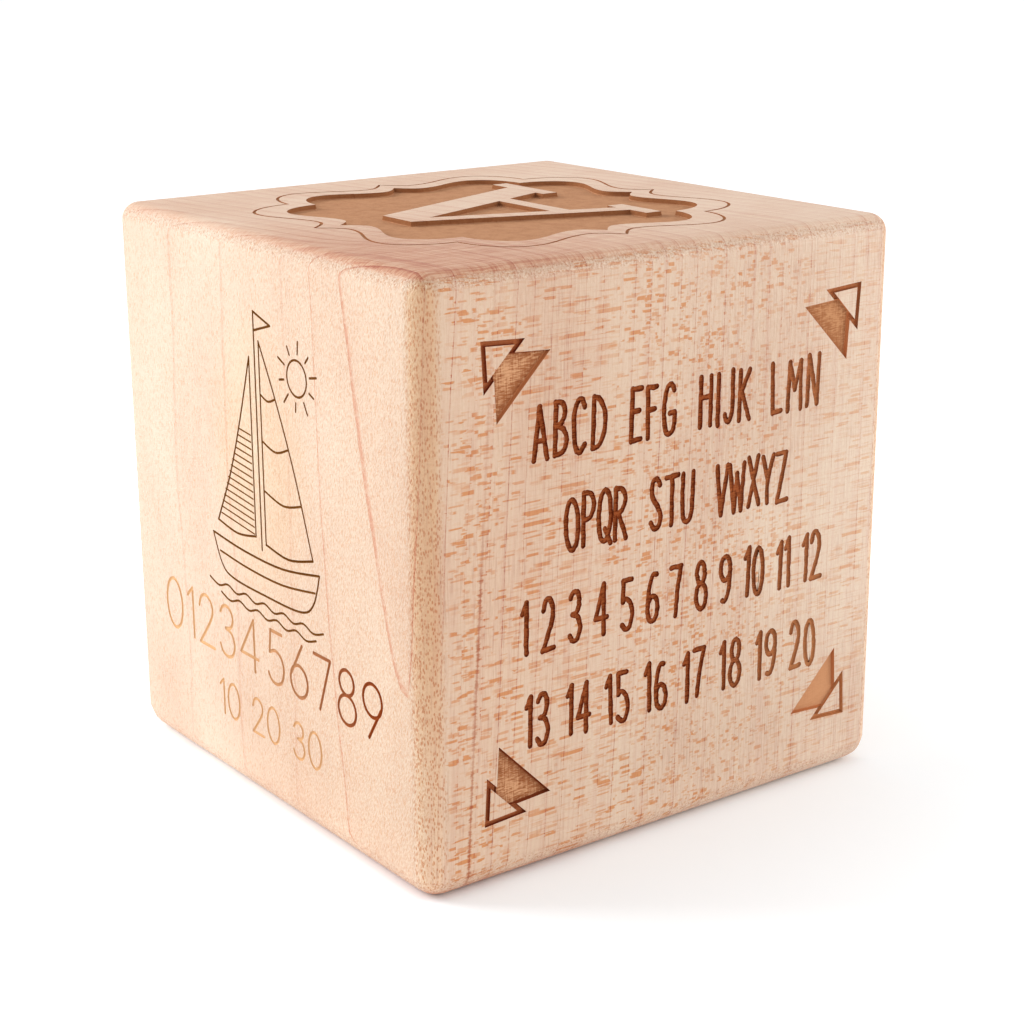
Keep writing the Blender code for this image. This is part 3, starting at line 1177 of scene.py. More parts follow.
@dataclass(frozen=True)
class SandedMaple:
    """The block's outer surface, browner and rougher on its rounded edges and warm by the picture.

    On the upright edges the brown is partly burnish, partly painted shade; painted light pales the foot.
    """

    grain: MapleGrain = MapleGrain()
    # Browner upright edges, most of all those facing -Y: partly burnish, partly painted shade.
    edge_burnish_and_shade: Colour = (1.03, 0.91, 0.74)
    # Painted light: the upright edges paler towards their foot.
    low_edge_painted_light: Colour = (1.10, 1.22, 1.40)
    # Painted light: the block paler towards its foot, over its lowest ten millimetres.
    foot_painted_light: Colour = (1.09, 1.10, 1.12)
    torn_tint: Colour = (0.74, 0.47, 0.31)
    bare: Colour = (0.82, 0.65, 0.48)
    worn_tint: Colour = (0.86, 0.76, 0.68)
    heat_tint: Colour = (1.0, 0.95, 0.84)
    picture_middle: Point = (0.0, 39.5)
    picture_reach: Point = (10.5, 17.0)

    def material(self) -> bpy.types.Material:
        """Paints the finish.

        Returns:
            The material.
        """
        easel = Easel("sanded_maple")
        at, facing = easel.place(), easel.facing()
        wood, relief, rays = self.grain.colour(at)
        # Where the upright edges turn browner, most where they face -Y: partly burnish, partly painted
        # shade.
        before = 0.35 + facing.y.rise(0.2, -0.2) * 0.65
        edge = (abs(facing.x) * abs(facing.y)).rise(0.12, 0.42) * before
        arris = (abs(facing.z) * (1.0 - abs(facing.z)) * 4.0).rise(0.35, 0.9)
        rough = at.noise(0.22, 0.22, 0.22, 2.0, 0.7)
        across = (at.y - self.picture_middle[0]) / self.picture_reach[0]
        along = (at.z - self.picture_middle[1]) / self.picture_reach[1]
        near = (across * across + along * along).rise(1.25, 0.1)
        wood = easel.tinted(
            wood,
            # Burnish and painted shade on the upright edges.
            (edge, self.edge_burnish_and_shade),
            # Painted light: the upright edges' lower parts and the block's foot paler.
            (edge * at.z.rise(28.0, 4.0), self.low_edge_painted_light),
            (at.z.rise(10.0, 0.5), self.foot_painted_light),
            (arris * rough.rise(0.02, 0.14) * 0.7, self.torn_tint),
        )
        wood = easel.tinted(
            easel.blend(arris * rough.rise(-0.05, -0.18) * 0.45, wood, self.bare),
            (edge * rough.rise(0.0, 0.2) * 0.5, self.worn_tint),
            (near * facing.x.rise(-0.9, -0.99) * 0.8, self.heat_tint),
        )
        return easel.finish(wood, 0.5 - rays * 0.06, relief + rough * (arris * 0.9 + edge * 0.6), 0.06)


@dataclass(frozen=True)
class ScorchedCut:
    """Wood that the laser has cut and browned, darker by the walls than on the floor."""

    name: str
    side: Side
    depth: float
    rim: Colour
    floor: Colour
    rim_end: float = 0.4
    floor_start: float = 0.8
    streak: float = 0.25
    faded: Colour = (0.60, 0.27, 0.115)
    streak_tint: Colour = (0.46, 0.32, 0.24)
    ring_tint: Colour = (0.8, 0.66, 0.6)
    grain: MapleGrain = MapleGrain()

    def fading(self, at: Place) -> Shade | float:
        """How much paler the cut is than its own colours.

        Args:
            at: The point.

        Returns:
            More to the right on the front, more to the back and all along the low row on the left.
        """
        if self.side is Side.FRONT:
            return at.x.rise(2.0, 30.0) * (0.38 + at.z.rise(34.0, 8.0) * 0.52)
        if self.side is Side.LEFT:
            low_row = at.z.rise(14.6, 13.4) * 0.84
            return at.z.rise(21.9, 21.5) * (at.y.rise(-25.0, 16.0) * 0.92).most(low_row)
        return 0.0

    def sunk(self, at: Place) -> Shade:
        """How deep a point lies below this side's surface.

        Args:
            at: The point.

        Returns:
            The depth in millimetres.
        """
        if self.side is Side.FRONT:
            return at.y + SIZE.depth / 2
        if self.side is Side.LEFT:
            return at.x + SIZE.width / 2
        return SIZE.height - at.z

    def material(self) -> bpy.types.Material:
        """Paints the finish.

        Returns:
            The material.
        """
        easel = Easel(self.name)
        at = easel.place()
        line, shade, *_ = self.grain.rings(at)
        speckle = at.noise(0.35, 0.35, 0.35, 3.0, 0.6)
        sweep = at.noise(1.3, 1.3, 0.13)
        deep = (self.sunk(at) / self.depth + speckle * 0.3).rise(self.rim_end, self.floor_start)
        burnt = easel.tinted(
            easel.blend(deep, self.rim, self.floor),
            ((speckle + sweep).eased(2.2, 0.4) * self.streak, self.streak_tint),
            ((line + shade * 0.3) * 0.6, self.ring_tint),
        )
        burnt = easel.blend(self.fading(at), burnt, self.faded)
        return easel.finish(burnt, 0.85, 0.5 + speckle * 0.8 + sweep * 0.8, 0.08, 0.04)


@dataclass(frozen=True)
class ShadedFloor:
    """The floor of a filled triangle: mid brown, darker near its edge line of painted shade and light."""

    name: str
    light: Colour = (0.59, 0.305, 0.158)
    dark: Colour = (0.31, 0.105, 0.040)
    streak_tint: Colour = (0.58, 0.38, 0.28)
    ring_tint: Colour = (0.8, 0.62, 0.55)
    faint: Colour = (0.56, 0.265, 0.130)
    upper_right_tint: Colour = (0.86, 0.82, 0.76)
    # Painted shade and painted light: the line along the walls, dark where they stand in shade, lighter
    # where lit.
    line: Colour = (0.20, 0.040, 0.012)
    painted_lit_line: Colour = (0.52, 0.190, 0.075)
    middle: Point = (1.2, 31.75)
    corner: Point = (23.8, 23.45)
    leg: float = 6.9
    splay: float = math.radians(3.5)
    grain: MapleGrain = MapleGrain()

    def material(self) -> bpy.types.Material:
        """Paints the finish.

        Returns:
            The material.
        """
        easel = Easel(self.name)
        at = easel.place()
        ring_line, *_ = self.grain.rings(at)
        weave = at.noise(0.16, 0.4, 1.6)
        sweep = at.noise(0.9, 1.6, 0.13, 2.0, 0.65)
        scratch = at.noise(1.1, 2.0, 0.11, 1.0).rise(0.06, 0.22)
        aside = self.corner[0] - abs(at.x - self.middle[0])
        up = self.corner[1] - abs(at.z - self.middle[1])
        slope, reach = math.tan(self.splay), math.cos(self.splay) + math.sin(self.splay)
        long_side = (self.leg * reach - aside - up) / math.sqrt(2)
        short_side = (aside - up * slope).least(up - aside * slope)
        inward = long_side.least(short_side + 0.5)
        tone = (inward / 2.4 + weave * 1.9 + sweep * 3.2 + 0.05).rise(0.0, 1.2)
        brown = easel.tinted(
            easel.blend(tone, self.dark, self.light),
            (scratch * 0.8, self.streak_tint),
            (ring_line * 0.6, self.ring_tint),
        )
        brown = easel.blend(at.x.rise(0.0, 26.0) * (0.35 + at.z.rise(40.0, 22.0) * 0.6), brown, self.faint)
        brown = easel.tinted(brown, (at.x.rise(0.0, 20.0) * at.z.rise(30.0, 42.0), self.upper_right_tint))
        wall = (at.y + SIZE.depth / 2).rise(0.30, 0.12)
        rim = (long_side.least(short_side) + weave * 0.12 + sweep * 0.12).rise(0.26, 0.08).most(wall)
        # Painted light on the upper pairs' long sides and on the right pairs; painted shade on the rest of
        # the line.
        lit = at.z.rise(30.0, 34.0) * (short_side - long_side).rise(0.0, 0.15)
        edge = easel.blend((lit + at.x.rise(4.0, 24.0)).least(1.0), self.line, self.painted_lit_line)
        return easel.finish(
            easel.blend(rim, brown, edge), 0.8, 0.5 + weave * 0.5 + sweep * 0.6, 0.06, 0.04
        )


# Decoration


@dataclass
class BracketPanel:
    """The bracket line on top, the sunk panel inside it, and the letter left standing there."""

    side: float = 46.3
    middle: Point = (-0.5, -0.4)
    line: Pen = Pen(0.36, 0.22)
    tip_reach: float = 3.2
    tip_depth: float = 2.5
    lobe_from_corner: float = 11.5
    notch_depth: float = 6.6
    tip_steps: int = 6
    wave_steps: int = 10
    lobe_steps: int = 12
    rim_width: float = 3.3
    panel_depth: float = 0.55
    draft: float = 0.16
    letter_height: float = 25.5
    letter_spread: float = 20.0
    thick_stroke: float = 5.4
    thin_stroke: float = 2.3
    bar_stroke: float = 2.1
    bar_rise: float = 7.2
    serif_thickness: float = 2.0
    serif_overhang: float = 2.2

    def half_side(self, reach: float, scale: float) -> list[Vector]:
        """Half of one side of the bracket, from its middle tip to its corner notch.

        Args:
            reach: How far out the side lies, which is also half its length.
            scale: How large the forms are drawn.

        Returns:
            The points of a side that looks along +Y and runs along +X.
        """
        shoulder = Vector((self.tip_reach * scale, reach - self.tip_depth * scale))
        lobe = Vector((reach - self.lobe_from_corner * scale, reach))
        notch = Vector((reach - self.notch_depth * scale, reach - self.notch_depth * scale))
        points = [Vector((0.0, reach))]
        for i in range(1, self.tip_steps + 1):
            share = i / self.tip_steps
            sink = self.tip_depth * scale * math.sin(share * math.pi / 2)
            points.append(Vector((shoulder.x * share, reach - sink)))
        for i in range(1, self.wave_steps + 1):
            share = i / self.wave_steps
            ease = (1 - math.cos(share * math.pi)) / 2
            along = shoulder.x + (lobe.x - shoulder.x) * share
            points.append(Vector((along, shoulder.y + (lobe.y - shoulder.y) * ease)))
        for i in range(1, self.lobe_steps + 1):
            turn = i / self.lobe_steps * math.pi / 2
            along = lobe.x + (notch.x - lobe.x) * math.sin(turn)
            points.append(Vector((along, notch.y + (lobe.y - notch.y) * math.cos(turn))))
        return points

    def outline(self, inset: float) -> Stroke:
        """The closed bracket outline, drawn smaller by the inset.

        Args:
            inset: How far in it lies on each side.

        Returns:
            Its points, clockwise.
        """
        half = self.side / 2 - inset
        points: Stroke = []
        for quarter in range(4):
            right = self.half_side(half, half * 2 / self.side)
            left = [Vector((-point.x, point.y)) for point in reversed(right)]
            turn = Matrix.Rotation(-quarter * math.pi / 2, 2)
            for point in left[:-1] + right[:-1]:
                placed = turn @ point
                points.append((placed.x + self.middle[0], placed.y + self.middle[1]))
        return points

    def letter_strokes(self) -> list[Stroke]:
        """The slab-serif letter's strokes as flat outlines, with its foot towards +X.

        Returns:
            The outlines.
        """
        foot = self.letter_spread / 2
        low, high = -self.letter_height / 2, self.letter_height / 2
        apex = -(self.thick_stroke - self.thin_stroke) / 2
        share = self.bar_rise / self.letter_height
        bar = low + self.bar_rise

        def leg(at: float, top: float, width: float) -> Stroke:
            """A leaning stroke from the foot to the top."""
            half = width / 2
            return [(at - half, low), (at + half, low), (top + half, high), (top - half, high)]

        def slab(left: float, right: float, under: float, over: float) -> Stroke:
            """A level stroke."""
            return [(left, under), (right, under), (right, over), (left, over)]

        def serif(at: float, width: float) -> Stroke:
            """A foot under a leg."""
            spread = width / 2 + self.serif_overhang
            return slab(at - spread, at + spread, low, low + self.serif_thickness)

        upright = [
            leg(-foot, apex, self.thin_stroke),
            leg(foot, 0.0, self.thick_stroke),
            slab(-foot + (apex + foot) * share, foot * (1 - share), bar, bar + self.bar_stroke),
            serif(-foot, self.thin_stroke),
            serif(foot, self.thick_stroke),
        ]
        across, up = self.middle
        return [[(-y + across, x + up) for x, y in stroke] for stroke in upright]

    def carve(self, block: bpy.types.Object) -> None:
        """Cuts the line and the panel into the block's top.

        Args:
            block: The block.
        """
        place = SIZE.placing(Side.TOP)
        middle = self.outline(self.line.width / 2)
        groove = self.line.tool("bracket_line", [PenLine(middle, closed=True)], place)
        rim = self.outline(self.rim_width)
        panel = Workbench.outline_prism("panel", rim, -self.panel_depth, LOW_TOP, self.draft, place)
        low = -self.panel_depth - BELOW_FLOOR
        for stroke in self.letter_strokes():
            standing = Workbench.outline_prism("letter_stroke", stroke, low, MIDDLE_TOP, -self.draft, place)
            Workbench.cut(panel, [standing], "DIFFERENCE")
        Workbench.cut(block, [groove, panel], "DIFFERENCE")


@dataclass
class CornerTriangles:
    """The outlined and the filled triangle that overlap in each corner of the front.

    The last field is how near the middle of the four a pair comes: across, upwards and both together.
    """

    margin_side: float = 5.8
    margin_end: float = 6.9
    shift: float = 1.2
    outline_leg: float = 5.25
    outline_stroke: float = 0.54
    outline_depth: float = 0.45
    solid_leg: float = 6.9
    solid_offset: float = 1.4
    solid_depth: float = 0.40
    overlap: float = 0.06
    splay: float = math.radians(3.5)
    draft: float = 0.14
    nearest: tuple[float, float, float] = (16.6, 16.2, 39.4)

    def triangle(self, corner: Vector, leg: float) -> Stroke:
        """A right-angled triangle with its legs to the right and down, both turned inwards a little.

        Args:
            corner: Its right-angled corner.
            leg: The legs' length.

        Returns:
            Its three corners.
        """
        opening = Vector((math.cos(self.splay), -math.sin(self.splay)))
        across = corner + leg * opening
        down = corner + leg * Vector((-opening.y, -opening.x))
        return [tuple(corner), tuple(down), tuple(across)]

    def inner(self, triangle: Stroke, inset: float) -> Stroke:
        """The triangle's outline moved in, about the middle of its inner circle.

        Args:
            triangle: Its corners.
            inset: How far each side moves in.

        Returns:
            The smaller triangle's corners.
        """
        a, b, c = (Vector(point) for point in triangle)
        sides = [(b - c).length, (c - a).length, (a - b).length]
        around = sum(sides)
        middle = (sides[0] * a + sides[1] * b + sides[2] * c) / around
        first, second = b - a, c - a
        radius = abs(first.x * second.y - first.y * second.x) / around
        share = 1 - inset / radius
        return [tuple(middle + (point - middle) * share) for point in (a, b, c)]

    def corner(self) -> Vector:
        """The upper left pair's outer corner, from the middle of the four."""
        return Vector((self.margin_side - SIZE.width / 2, SIZE.height / 2 - self.margin_end))

    def outlined(self) -> Stroke:
        """The upper left pair's outlined triangle."""
        return self.triangle(self.corner(), self.outline_leg)

    def filled(self) -> Stroke:
        """The upper left pair's filled triangle."""
        offset = Vector((self.solid_offset, -self.solid_offset))
        return self.triangle(self.corner() + offset, self.solid_leg)

    def slot_at(self, across: float, along: float) -> Slot | None:
        """The material slot of a cut face, by its place.

        Args:
            across: How far it lies from the middle of the four pairs, sideways.
            along: How far it lies from there, up or down.

        Returns:
            The slot, or None where the face belongs to no pair.
        """
        if not all(far > near for far, near in zip((across, along, across + along), self.nearest)):
            return None
        if contains(self.outlined(), -across, along) and not contains(self.filled(), -across, along):
            return Slot.OUTLINED_TRIANGLES
        return Slot.FILLED_TRIANGLES

    def carve(self, block: bpy.types.Object) -> None:
        """Cuts the four pairs into the block's front. The wood stays inside each outlined triangle.

        Args:
            block: The block.
        """
        outline = self.outlined()
        solid = self.filled()
        hollow = self.inner(outline, self.outline_stroke)
        cover = self.inner(solid, self.overlap)
        low = -self.outline_depth - BELOW_FLOOR
        place = SIZE.placing(Side.FRONT) @ Matrix.Translation((self.shift, 0, 0))
        for right in (1, -1):
            for up in (1, -1):
                mirrored = place @ Matrix.Diagonal((right, up, 1, 1))
                filled, stroke = (
                    Workbench.outline_prism(name, points, -depth, height, self.draft, mirrored)
                    for name, points, depth, height in (
                        ("filled_triangle", solid, self.solid_depth, LOW_TOP),
                        ("outlined_triangle", outline, self.outline_depth, MIDDLE_TOP),
                    )
                )
                kept, core, covered = (
                    Workbench.outline_prism(name, points, low, HIGH_TOP, -self.draft, mirrored)
                    for name, points in (
                        ("untouched_middle", hollow),
                        ("stroke_middle", hollow),
                        ("covered_stroke", cover),
                    )
                )
                Workbench.cut(filled, [kept], "DIFFERENCE")
                Workbench.cut(stroke, [core, covered], "DIFFERENCE")
                Workbench.cut(filled, [stroke], "UNION")
                Workbench.cut(block, [filled], "DIFFERENCE")


@dataclass
class CharacterRows:
    """Four rows of tall, narrow, hand-drawn characters on the front."""

    words: tuple[str, ...] = (
        "ABCD EFG HIJK LMN",
        "OPQR STU VWXYZ",
        "1 2 3 4 5 6 7 8 9 10 11 12",
        "13 14 15 16 17 18 19 20",
    )
    widths: tuple[float, ...] = (38.7, 30.7, 41.7, 40.8)
    bases: tuple[float, ...] = (43.7, 33.8, 23.9, 13.9)
    gaps: tuple[float, ...] = (0.95, 0.60, 0.80, 0.85)
    height: float = 5.9
    middle: float = 1.3
    shake: float = 0.018
    first_seed: int = 3
    pen: Pen = Pen(0.64, 0.20, trimmed=0.08, ragged=0.09, finer=(0.012, 0.009))

    def carve(self, block: bpy.types.Object) -> None:
        """Cuts the rows into the block's front.

        Args:
            block: The block.
        """
        place = SIZE.placing(Side.FRONT)
        rows = zip(self.words, self.widths, self.bases, self.gaps)
        for number, (words, width, base, gap) in enumerate(rows):
            line = CharacterLine(
                words=words,
                width=width,
                height=self.height,
                base=base,
                middle=self.middle,
                pen=self.pen,
                glyphs=TALL_CAPITALS,
                scale=1.0,
                gap=gap,
                unsteady=1.0,
                shake=self.shake,
                seed=number + self.first_seed,
            )
            line.carve(block, f"row_{number}", place)


@dataclass
class BoatPicture:
    """A small sailing boat in thin lines on the left side, with round digits under it."""

    pen: Pen = Pen(0.29, 0.12, finer=(0.008, 0.006))
    hatch_pen: Pen = Pen(0.2, 0.08)
    digit_pen: Pen = Pen(0.42, 0.16, finer=(0.010, 0.008))
    small_pen: Pen = Pen(0.36, 0.14, finer=(0.010, 0.008))
    wave_rows: tuple[tuple[float, float, int], ...] = ((23.2, -12.0, 6), (22.0, -9.5, 5))
    wave_step: float = 2.0
    wave_height: float = 0.55
    sun: Point = (8.4, 50.0)
    sun_radius: float = 1.9
    sun_rays: int = 10
    sun_turn: float = 0.2
    hatch_lines: int = 15
    hatch_from: float = 31.2
    hatch_step: float = 0.78
    hatch_ends: Point = (-8.6, -1.5)
    digits_end: float = 21.6

    def line(self, *points: Point, steps: int = 6) -> PenLine:
        """One line through points whose heights are taken from the block's foot."""
        return PenLine(smooth_path([(x, z - SIZE.height / 2) for x, z in points], steps))

    def boat(self) -> list[list[PenLine]]:
        """The boat's lines in layers, so that no two lines of one layer touch.

        Returns:
            One list of lines for each layer.
        """
        masthead, mast_foot, flag_tip = (0, 55.6), (0, 29.8), (3.4, 54.6)
        main_head, main_tack, main_clew = (0.9, 52.6), (0.9, 30.6), (10.4, 31.2)
        fore_head, fore_tack, fore_clew = (-1.2, 50.6), (-9.4, 31.0), (-1.2, 31.0)
        bow, stern = (-10.7, 29.3), (11.6, 29.9)
        drawn = (
            (
                (mast_foot, masthead),
                (main_tack, (5.5, 30.1), main_clew),
                (fore_head, (-3.6, 43.5), (-6.2, 37), fore_tack),
            ),
            (
                (bow, (-4, 28.7), (4, 28.7), stern),
                (masthead, flag_tip),
                (main_head, main_tack),
                (fore_head, fore_clew),
            ),
            (
                (bow, (-9.0, 26.0), (-6.5, 24.9), (0, 24.7), (7.5, 24.9), (10.2, 26.4), stern),
                (flag_tip, (0, 53.6)),
                (main_head, (4.2, 46.5), (7.4, 39.5), main_clew),
                (fore_tack, (-5.2, 30.4), fore_clew),
            ),
            (
                ((0.9, 47.0), (2.4, 46.5), (3.9, 47.0)),
                ((0.9, 42.0), (3.6, 41.3), (6.2, 42.1)),
                ((0.9, 36.6), (4.8, 35.8), (8.5, 36.6)),
                ((-9.3, 27.4), (-3, 26.9), (4, 26.9), (10.6, 27.8)),
            ),
        )
        return [[self.line(*points) for points in layer] for layer in drawn]

    def waves(self) -> list[PenLine]:
        """The wavy lines under the boat.

        Returns:
            One line for each row.
        """
        rows: list[PenLine] = []
        for base, start, count in self.wave_rows:
            crests = range(2 * count + 1)
            points = [
                (start + self.wave_step * i, base + (0.0 if i % 2 else self.wave_height)) for i in crests
            ]
            rows.append(self.line(*points, steps=4))
        return rows

    def sunshine(self) -> list[PenLine]:
        """The sun's ring and its rays, long and short by turns.

        Returns:
            The lines.
        """
        x, z = self.sun
        disc = ring_path((x, z - SIZE.height / 2), self.sun_radius, self.sun_radius, 28)
        lines = [PenLine(disc, closed=True)]
        for i in range(self.sun_rays):
            turn = 2 * math.pi * i / self.sun_rays + self.sun_turn
            reaches = (2.6, 3.5 if i % 2 else 3.9)
            lines.append(self.line(*((x + r * math.cos(turn), z + r * math.sin(turn)) for r in reaches)))
        return lines

    def hatching(self) -> list[PenLine]:
        """Close slanting lines that fill the lower half of the fore sail.

        Returns:
            The lines, from the lowest up.
        """
        lines: list[PenLine] = []
        least, right = self.hatch_ends
        for i in range(self.hatch_lines):
            z = self.hatch_from + self.hatch_step * i
            left = max(-9.0 + (z - 31.0) * 0.47, least)
            z -= SIZE.height / 2
            lines.append(PenLine([(right, z), (left, z + 0.35 * (right - left) * 0.3)]))
        return lines

    def carve(self, block: bpy.types.Object) -> None:
        """Cuts the picture and the digits into the block's left side.

        Args:
            block: The block.
        """
        place = SIZE.placing(Side.LEFT)
        *boat, seams = self.boat()
        self.pen.carve(block, "boat_lines", [*boat, seams + self.waves() + self.sunshine()], place)
        self.hatch_pen.carve(block, "boat_hatching", [self.hatching()], place)
        rows = (
            ("01234 56789", 46.0, 6.4, 14.9, self.digit_pen, 1.42),
            ("10 20 30", 22.0, 4.5, 7.7, self.small_pen, 0.9),
        )
        for number, (words, width, height, base, pen, gap) in enumerate(rows):
            line = CharacterLine(
                words=words,
                width=width,
                height=height,
                base=base,
                middle=0.0,
                pen=pen,
                glyphs=ROUND_DIGITS,
                scale=height - pen.width,
                gap=gap,
            )
            line.carve(block, f"digits_{number}", place)


# The block


@dataclass
class KeepsakeBlock:
    """The maple cube with all its cuts, as one closed piece."""

    size: BlockSize = SIZE
    panel: BracketPanel = field(default_factory=BracketPanel)
    triangles: CornerTriangles = field(default_factory=CornerTriangles)
    rows: CharacterRows = field(default_factory=CharacterRows)
    picture: BoatPicture = field(default_factory=BoatPicture)
    grid_cuts: int = 13
    skin: float = 0.002
    deepest: float = 0.8
    cut_reach: float = 27.0
    panel_skin: float = 0.32
    panel_inset: float = 2.4
    flat_angle: float = math.radians(32)

    def cube(self) -> bpy.types.Object:
        """The plain cube with all its edges and corners rounded.

        Returns:
            The block's object.
        """
        Workbench.clear_selection()
        size = self.size
        bpy.ops.mesh.primitive_cube_add(size=1.0, location=(0, 0, size.height / 2 * MM))
        block = Workbench.latest("keepsake_block")
        block.scale = (size.width * MM, size.depth * MM, size.height * MM)
        bpy.ops.object.transform_apply(location=True, rotation=True, scale=True)
        share = block.data.attributes.new("bevel_weight_edge", "FLOAT", "EDGE")
        for edge in block.data.edges:
            first, second = (block.data.vertices[i].co for i in edge.vertices)
            low = max(first.z, second.z) < 1e-4
            near = max(first.x, second.x) < 0 and max(first.y, second.y) < 0
            share.data[edge.index].value = 1.0 if low or near else size.edge_radius / size.low_radius
        rounding = block.modifiers.new("rounded_edges", "BEVEL")
        rounding.limit_method = "WEIGHT"
        rounding.width = size.low_radius * MM
        rounding.segments = size.edge_steps
        bpy.ops.object.modifier_apply(modifier=rounding.name)
        for face in block.data.polygons:
            face.select = face.area > (20 * MM) ** 2
        bpy.ops.object.mode_set(mode="EDIT")
        bpy.ops.mesh.subdivide(number_cuts=self.grid_cuts)
        bpy.ops.object.mode_set(mode="OBJECT")
        return block

    def finishes(self) -> dict[Slot, SandedMaple | ScorchedCut | ShadedFloor]:
        """The block's finishes.

        Returns:
            One for each slot, in the order of the slots.
        """
        front, left, top = Side.FRONT, Side.LEFT, Side.TOP
        return {
            Slot.WOOD: SandedMaple(),
            Slot.CHARACTERS: ScorchedCut(
                "scorched_characters",
                front,
                depth=0.20,
                rim=(0.205, 0.032, 0.007),
                floor=(0.320, 0.080, 0.023),
                rim_end=0.7,
                floor_start=0.98,
                streak=1.0,
            ),
            Slot.FILLED_TRIANGLES: ShadedFloor("scorched_triangles"),
            Slot.OUTLINED_TRIANGLES: ScorchedCut(
                "scorched_outline", front, depth=0.45, rim=(0.190, 0.032, 0.010), floor=(0.460, 0.140, 0.052)
            ),
            Slot.PANEL: ScorchedCut(
                "panel_floor",
                top,
                depth=0.55,
                rim=(0.32, 0.13, 0.055),
                floor=(0.510, 0.258, 0.138),
                rim_end=0.75,
                floor_start=0.99,
            ),
            Slot.BRACKET_LINE: ScorchedCut(
                "bracket_groove", top, depth=0.22, rim=(0.40, 0.16, 0.07), floor=(0.50, 0.25, 0.125)
            ),
            Slot.PICTURE: ScorchedCut(
                "picture_lines", left, depth=0.14, rim=(0.22, 0.088, 0.021), floor=(0.11, 0.037, 0.006)
            ),
            Slot.DIGITS: ScorchedCut(
                "scorched_digits",
                left,
                depth=0.14,
                rim=(0.36, 0.078, 0.014),
                floor=(0.22, 0.036, 0.005),
                faded=(0.69, 0.415, 0.21),
            ),
        }

    def slot_at(self, centre: Vector) -> Slot:
        """The material slot of a face, by its place.

        Args:
            centre: The face's middle, in metres.

        Returns:
            The slot.
        """
        x, y, z = (value / MM for value in centre)
        up = z - self.size.height / 2
        sunk_top = self.size.height - z

        def cut(depth: float, across: float, along: float) -> bool:
            """Whether the face belongs to a cut in the side that it lies this deep in."""
            return self.skin < depth < self.deepest and max(abs(across), abs(along)) < self.cut_reach

        if cut(y + self.size.depth / 2, x, up):
            pair = self.triangles.slot_at(abs(x - self.triangles.shift), abs(up))
            return Slot.CHARACTERS if pair is None else pair
        if cut(x + self.size.width / 2, y, up):
            return Slot.PICTURE if z > self.picture.digits_end else Slot.DIGITS
        if cut(sunk_top, x, y):
            panel = self.panel.outline(self.panel_inset)
            return Slot.PANEL if sunk_top > self.panel_skin or contains(panel, x, y) else Slot.BRACKET_LINE
        return Slot.WOOD

    def dress(self, block: bpy.types.Object) -> None:
        """Gives the block materials and smooth shading, hangs it on the root body, hides the imported one.

        Args:
            block: The carved block.
        """
        block.data.materials.clear()
        for finish in self.finishes().values():
            block.data.materials.append(finish.material())
        for face in block.data.polygons:
            face.material_index = self.slot_at(face.center)
        Workbench.pick(block)
        bpy.ops.object.shade_smooth_by_angle(angle=self.flat_angle)
        weigh = block.modifiers.new("flat_sides", "WEIGHTED_NORMAL")
        weigh.keep_sharp = True
        bpy.ops.object.modifier_apply(modifier=weigh.name)
        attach(block, "root")
        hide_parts("maple_block")

    def build(self) -> bpy.types.Object:
        """Models, carves and dresses the block.

        Returns:
            The finished piece.
        """
        block = self.cube()
        for part in (self.panel, self.triangles, self.rows, self.picture):
            part.carve(block)
            log.info("%s cut, %d faces", type(part).__name__, len(block.data.polygons))
        self.dress(block)
        return block


# Surroundings


@dataclass(frozen=True)
class TableTop:
    """Matt white with a painted glow: none under the block, less by its front and more beside its left."""

    white: Colour = (0.905, 0.93, 0.95)
    roughness: float = 0.9
    sheen: float = 0.1
    # Painted light: the table glows, though it is no lamp.
    painted_glow: float = 0.54
    full: float = 1.5
    near: float = 0.33
    far_more: float = 0.6
    on_left: float = 1.3

    def material(self) -> bpy.types.Material:
        """Paints the finish.

        Returns:
            The material.
        """
        easel = Easel("glowing_white_table_top")
        at = easel.place()
        beside = abs(at.x).most(abs(at.y))
        left = at.x.rise(-29.0, -33.0)
        ahead = beside.rise(24.0, 105.0) * self.far_more + self.near
        # Painted light: no glow under the block, little by its front, more further out and most beside its
        # left.
        lit = beside.rise(28.0, 32.0) * (ahead + (self.on_left - ahead) * left)
        painted_glow = easel.blend((lit / self.full).least(1.0), (0.0, 0.0, 0.0), (1.0, 1.0, 1.0))
        return easel.surface(
            {
                "Base Color": self.white,
                "Roughness": self.roughness,
                "Specular IOR Level": self.sheen,
                "Emission Color": painted_glow,
                "Emission Strength": self.painted_glow,
            }
        )


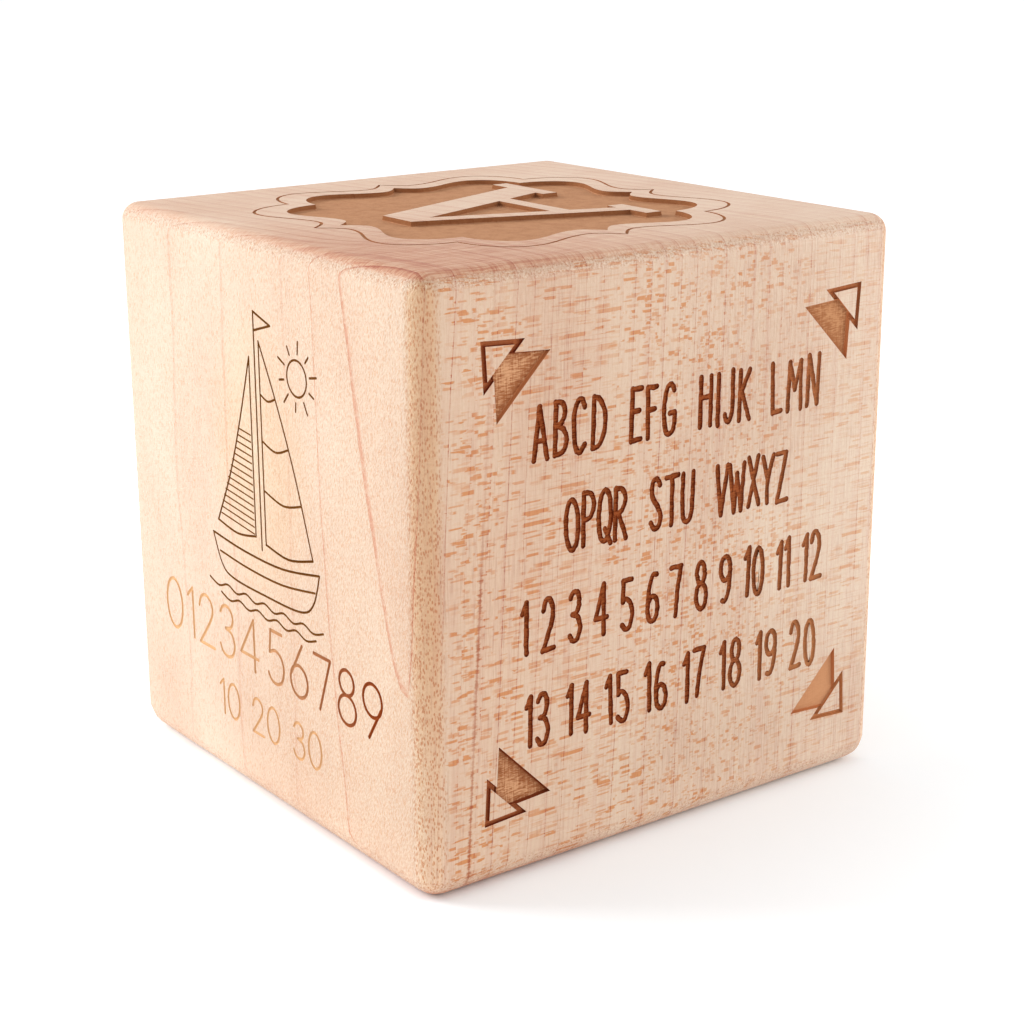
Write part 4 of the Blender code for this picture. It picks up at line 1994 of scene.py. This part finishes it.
@dataclass(frozen=True)
class SoftBox:
    """One square soft light that looks at the block's middle. Its power is in watts."""

    name: str
    place: tuple[float, float, float]
    width: float
    power: float
    colour: Colour

    def add(self) -> None:
        """Adds the light."""
        Workbench.clear_selection()
        at = Vector(self.place) * MM
        bpy.ops.object.light_add(type="AREA", location=at)
        lamp = Workbench.latest(self.name)
        aim = at - Vector((0, 0, SIZE.height / 2 * MM))
        lamp.rotation_euler = aim.to_track_quat("Z", "Y").to_euler()
        lamp.data.size = self.width * MM
        lamp.data.energy = self.power
        lamp.data.color = self.colour


@dataclass
class Studio:
    """A white table, soft light from two sides and the camera. Turns are in radians."""

    floor_size: float = 6000.0
    floor_drop: float = 0.02
    lights: tuple[SoftBox, ...] = (
        SoftBox("window_light", (-250, 260, 190), 200, 1.35, (0.95, 0.98, 1.0)),
        SoftBox("room_light", (300, -200, 150), 220, 0.68, (0.98, 1.0, 1.0)),
    )
    camera_at: tuple[float, float, float] = (-135.10, -185.216, 97.285)
    camera_turn: tuple[float, float, float] = (1.27865, 0.00483, -0.63905)
    lens: float = 73.084
    sensor: float = 36.0
    clip_start: float = 10.0
    sky: float = 0.75

    def floor(self) -> None:
        """Adds the table."""
        Workbench.clear_selection()
        bpy.ops.mesh.primitive_plane_add(size=self.floor_size * MM, location=(0, 0, -self.floor_drop * MM))
        table = Workbench.latest("white_table")
        table.data.materials.append(TableTop().material())

    def camera(self) -> None:
        """Adds the camera where the photographer stood."""
        Workbench.clear_selection()
        place = tuple(value * MM for value in self.camera_at)
        bpy.ops.object.camera_add(location=place, rotation=self.camera_turn)
        camera = Workbench.latest("photo_camera")
        camera.data.lens = self.lens
        camera.data.sensor_width = self.sensor
        camera.data.clip_start = self.clip_start * MM
        bpy.context.scene.camera = camera

    def air(self) -> None:
        """Fills the room with even white light."""
        world = bpy.data.worlds.new("studio_air")
        world.use_nodes = True
        sky = world.node_tree.nodes["Background"].inputs
        sky["Color"].default_value = (1.0, 1.0, 1.0, 1.0)
        sky["Strength"].default_value = self.sky
        bpy.context.scene.world = world

    def build(self) -> None:
        """Sets up the table, the lights, the air and the camera."""
        self.floor()
        for light in self.lights:
            light.add()
        self.air()
        self.camera()
        bpy.context.scene.view_settings.view_transform = "Standard"


def main() -> None:
    """Builds the block and its surroundings, and logs the block's faces."""
    logging.basicConfig(level=logging.INFO, format="%(name)s: %(message)s")
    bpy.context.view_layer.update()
    block = KeepsakeBlock().build()
    log.info("%s: %d faces", block.name, len(block.data.polygons))
    Studio().build()


if __name__ == "__main__":
    main()
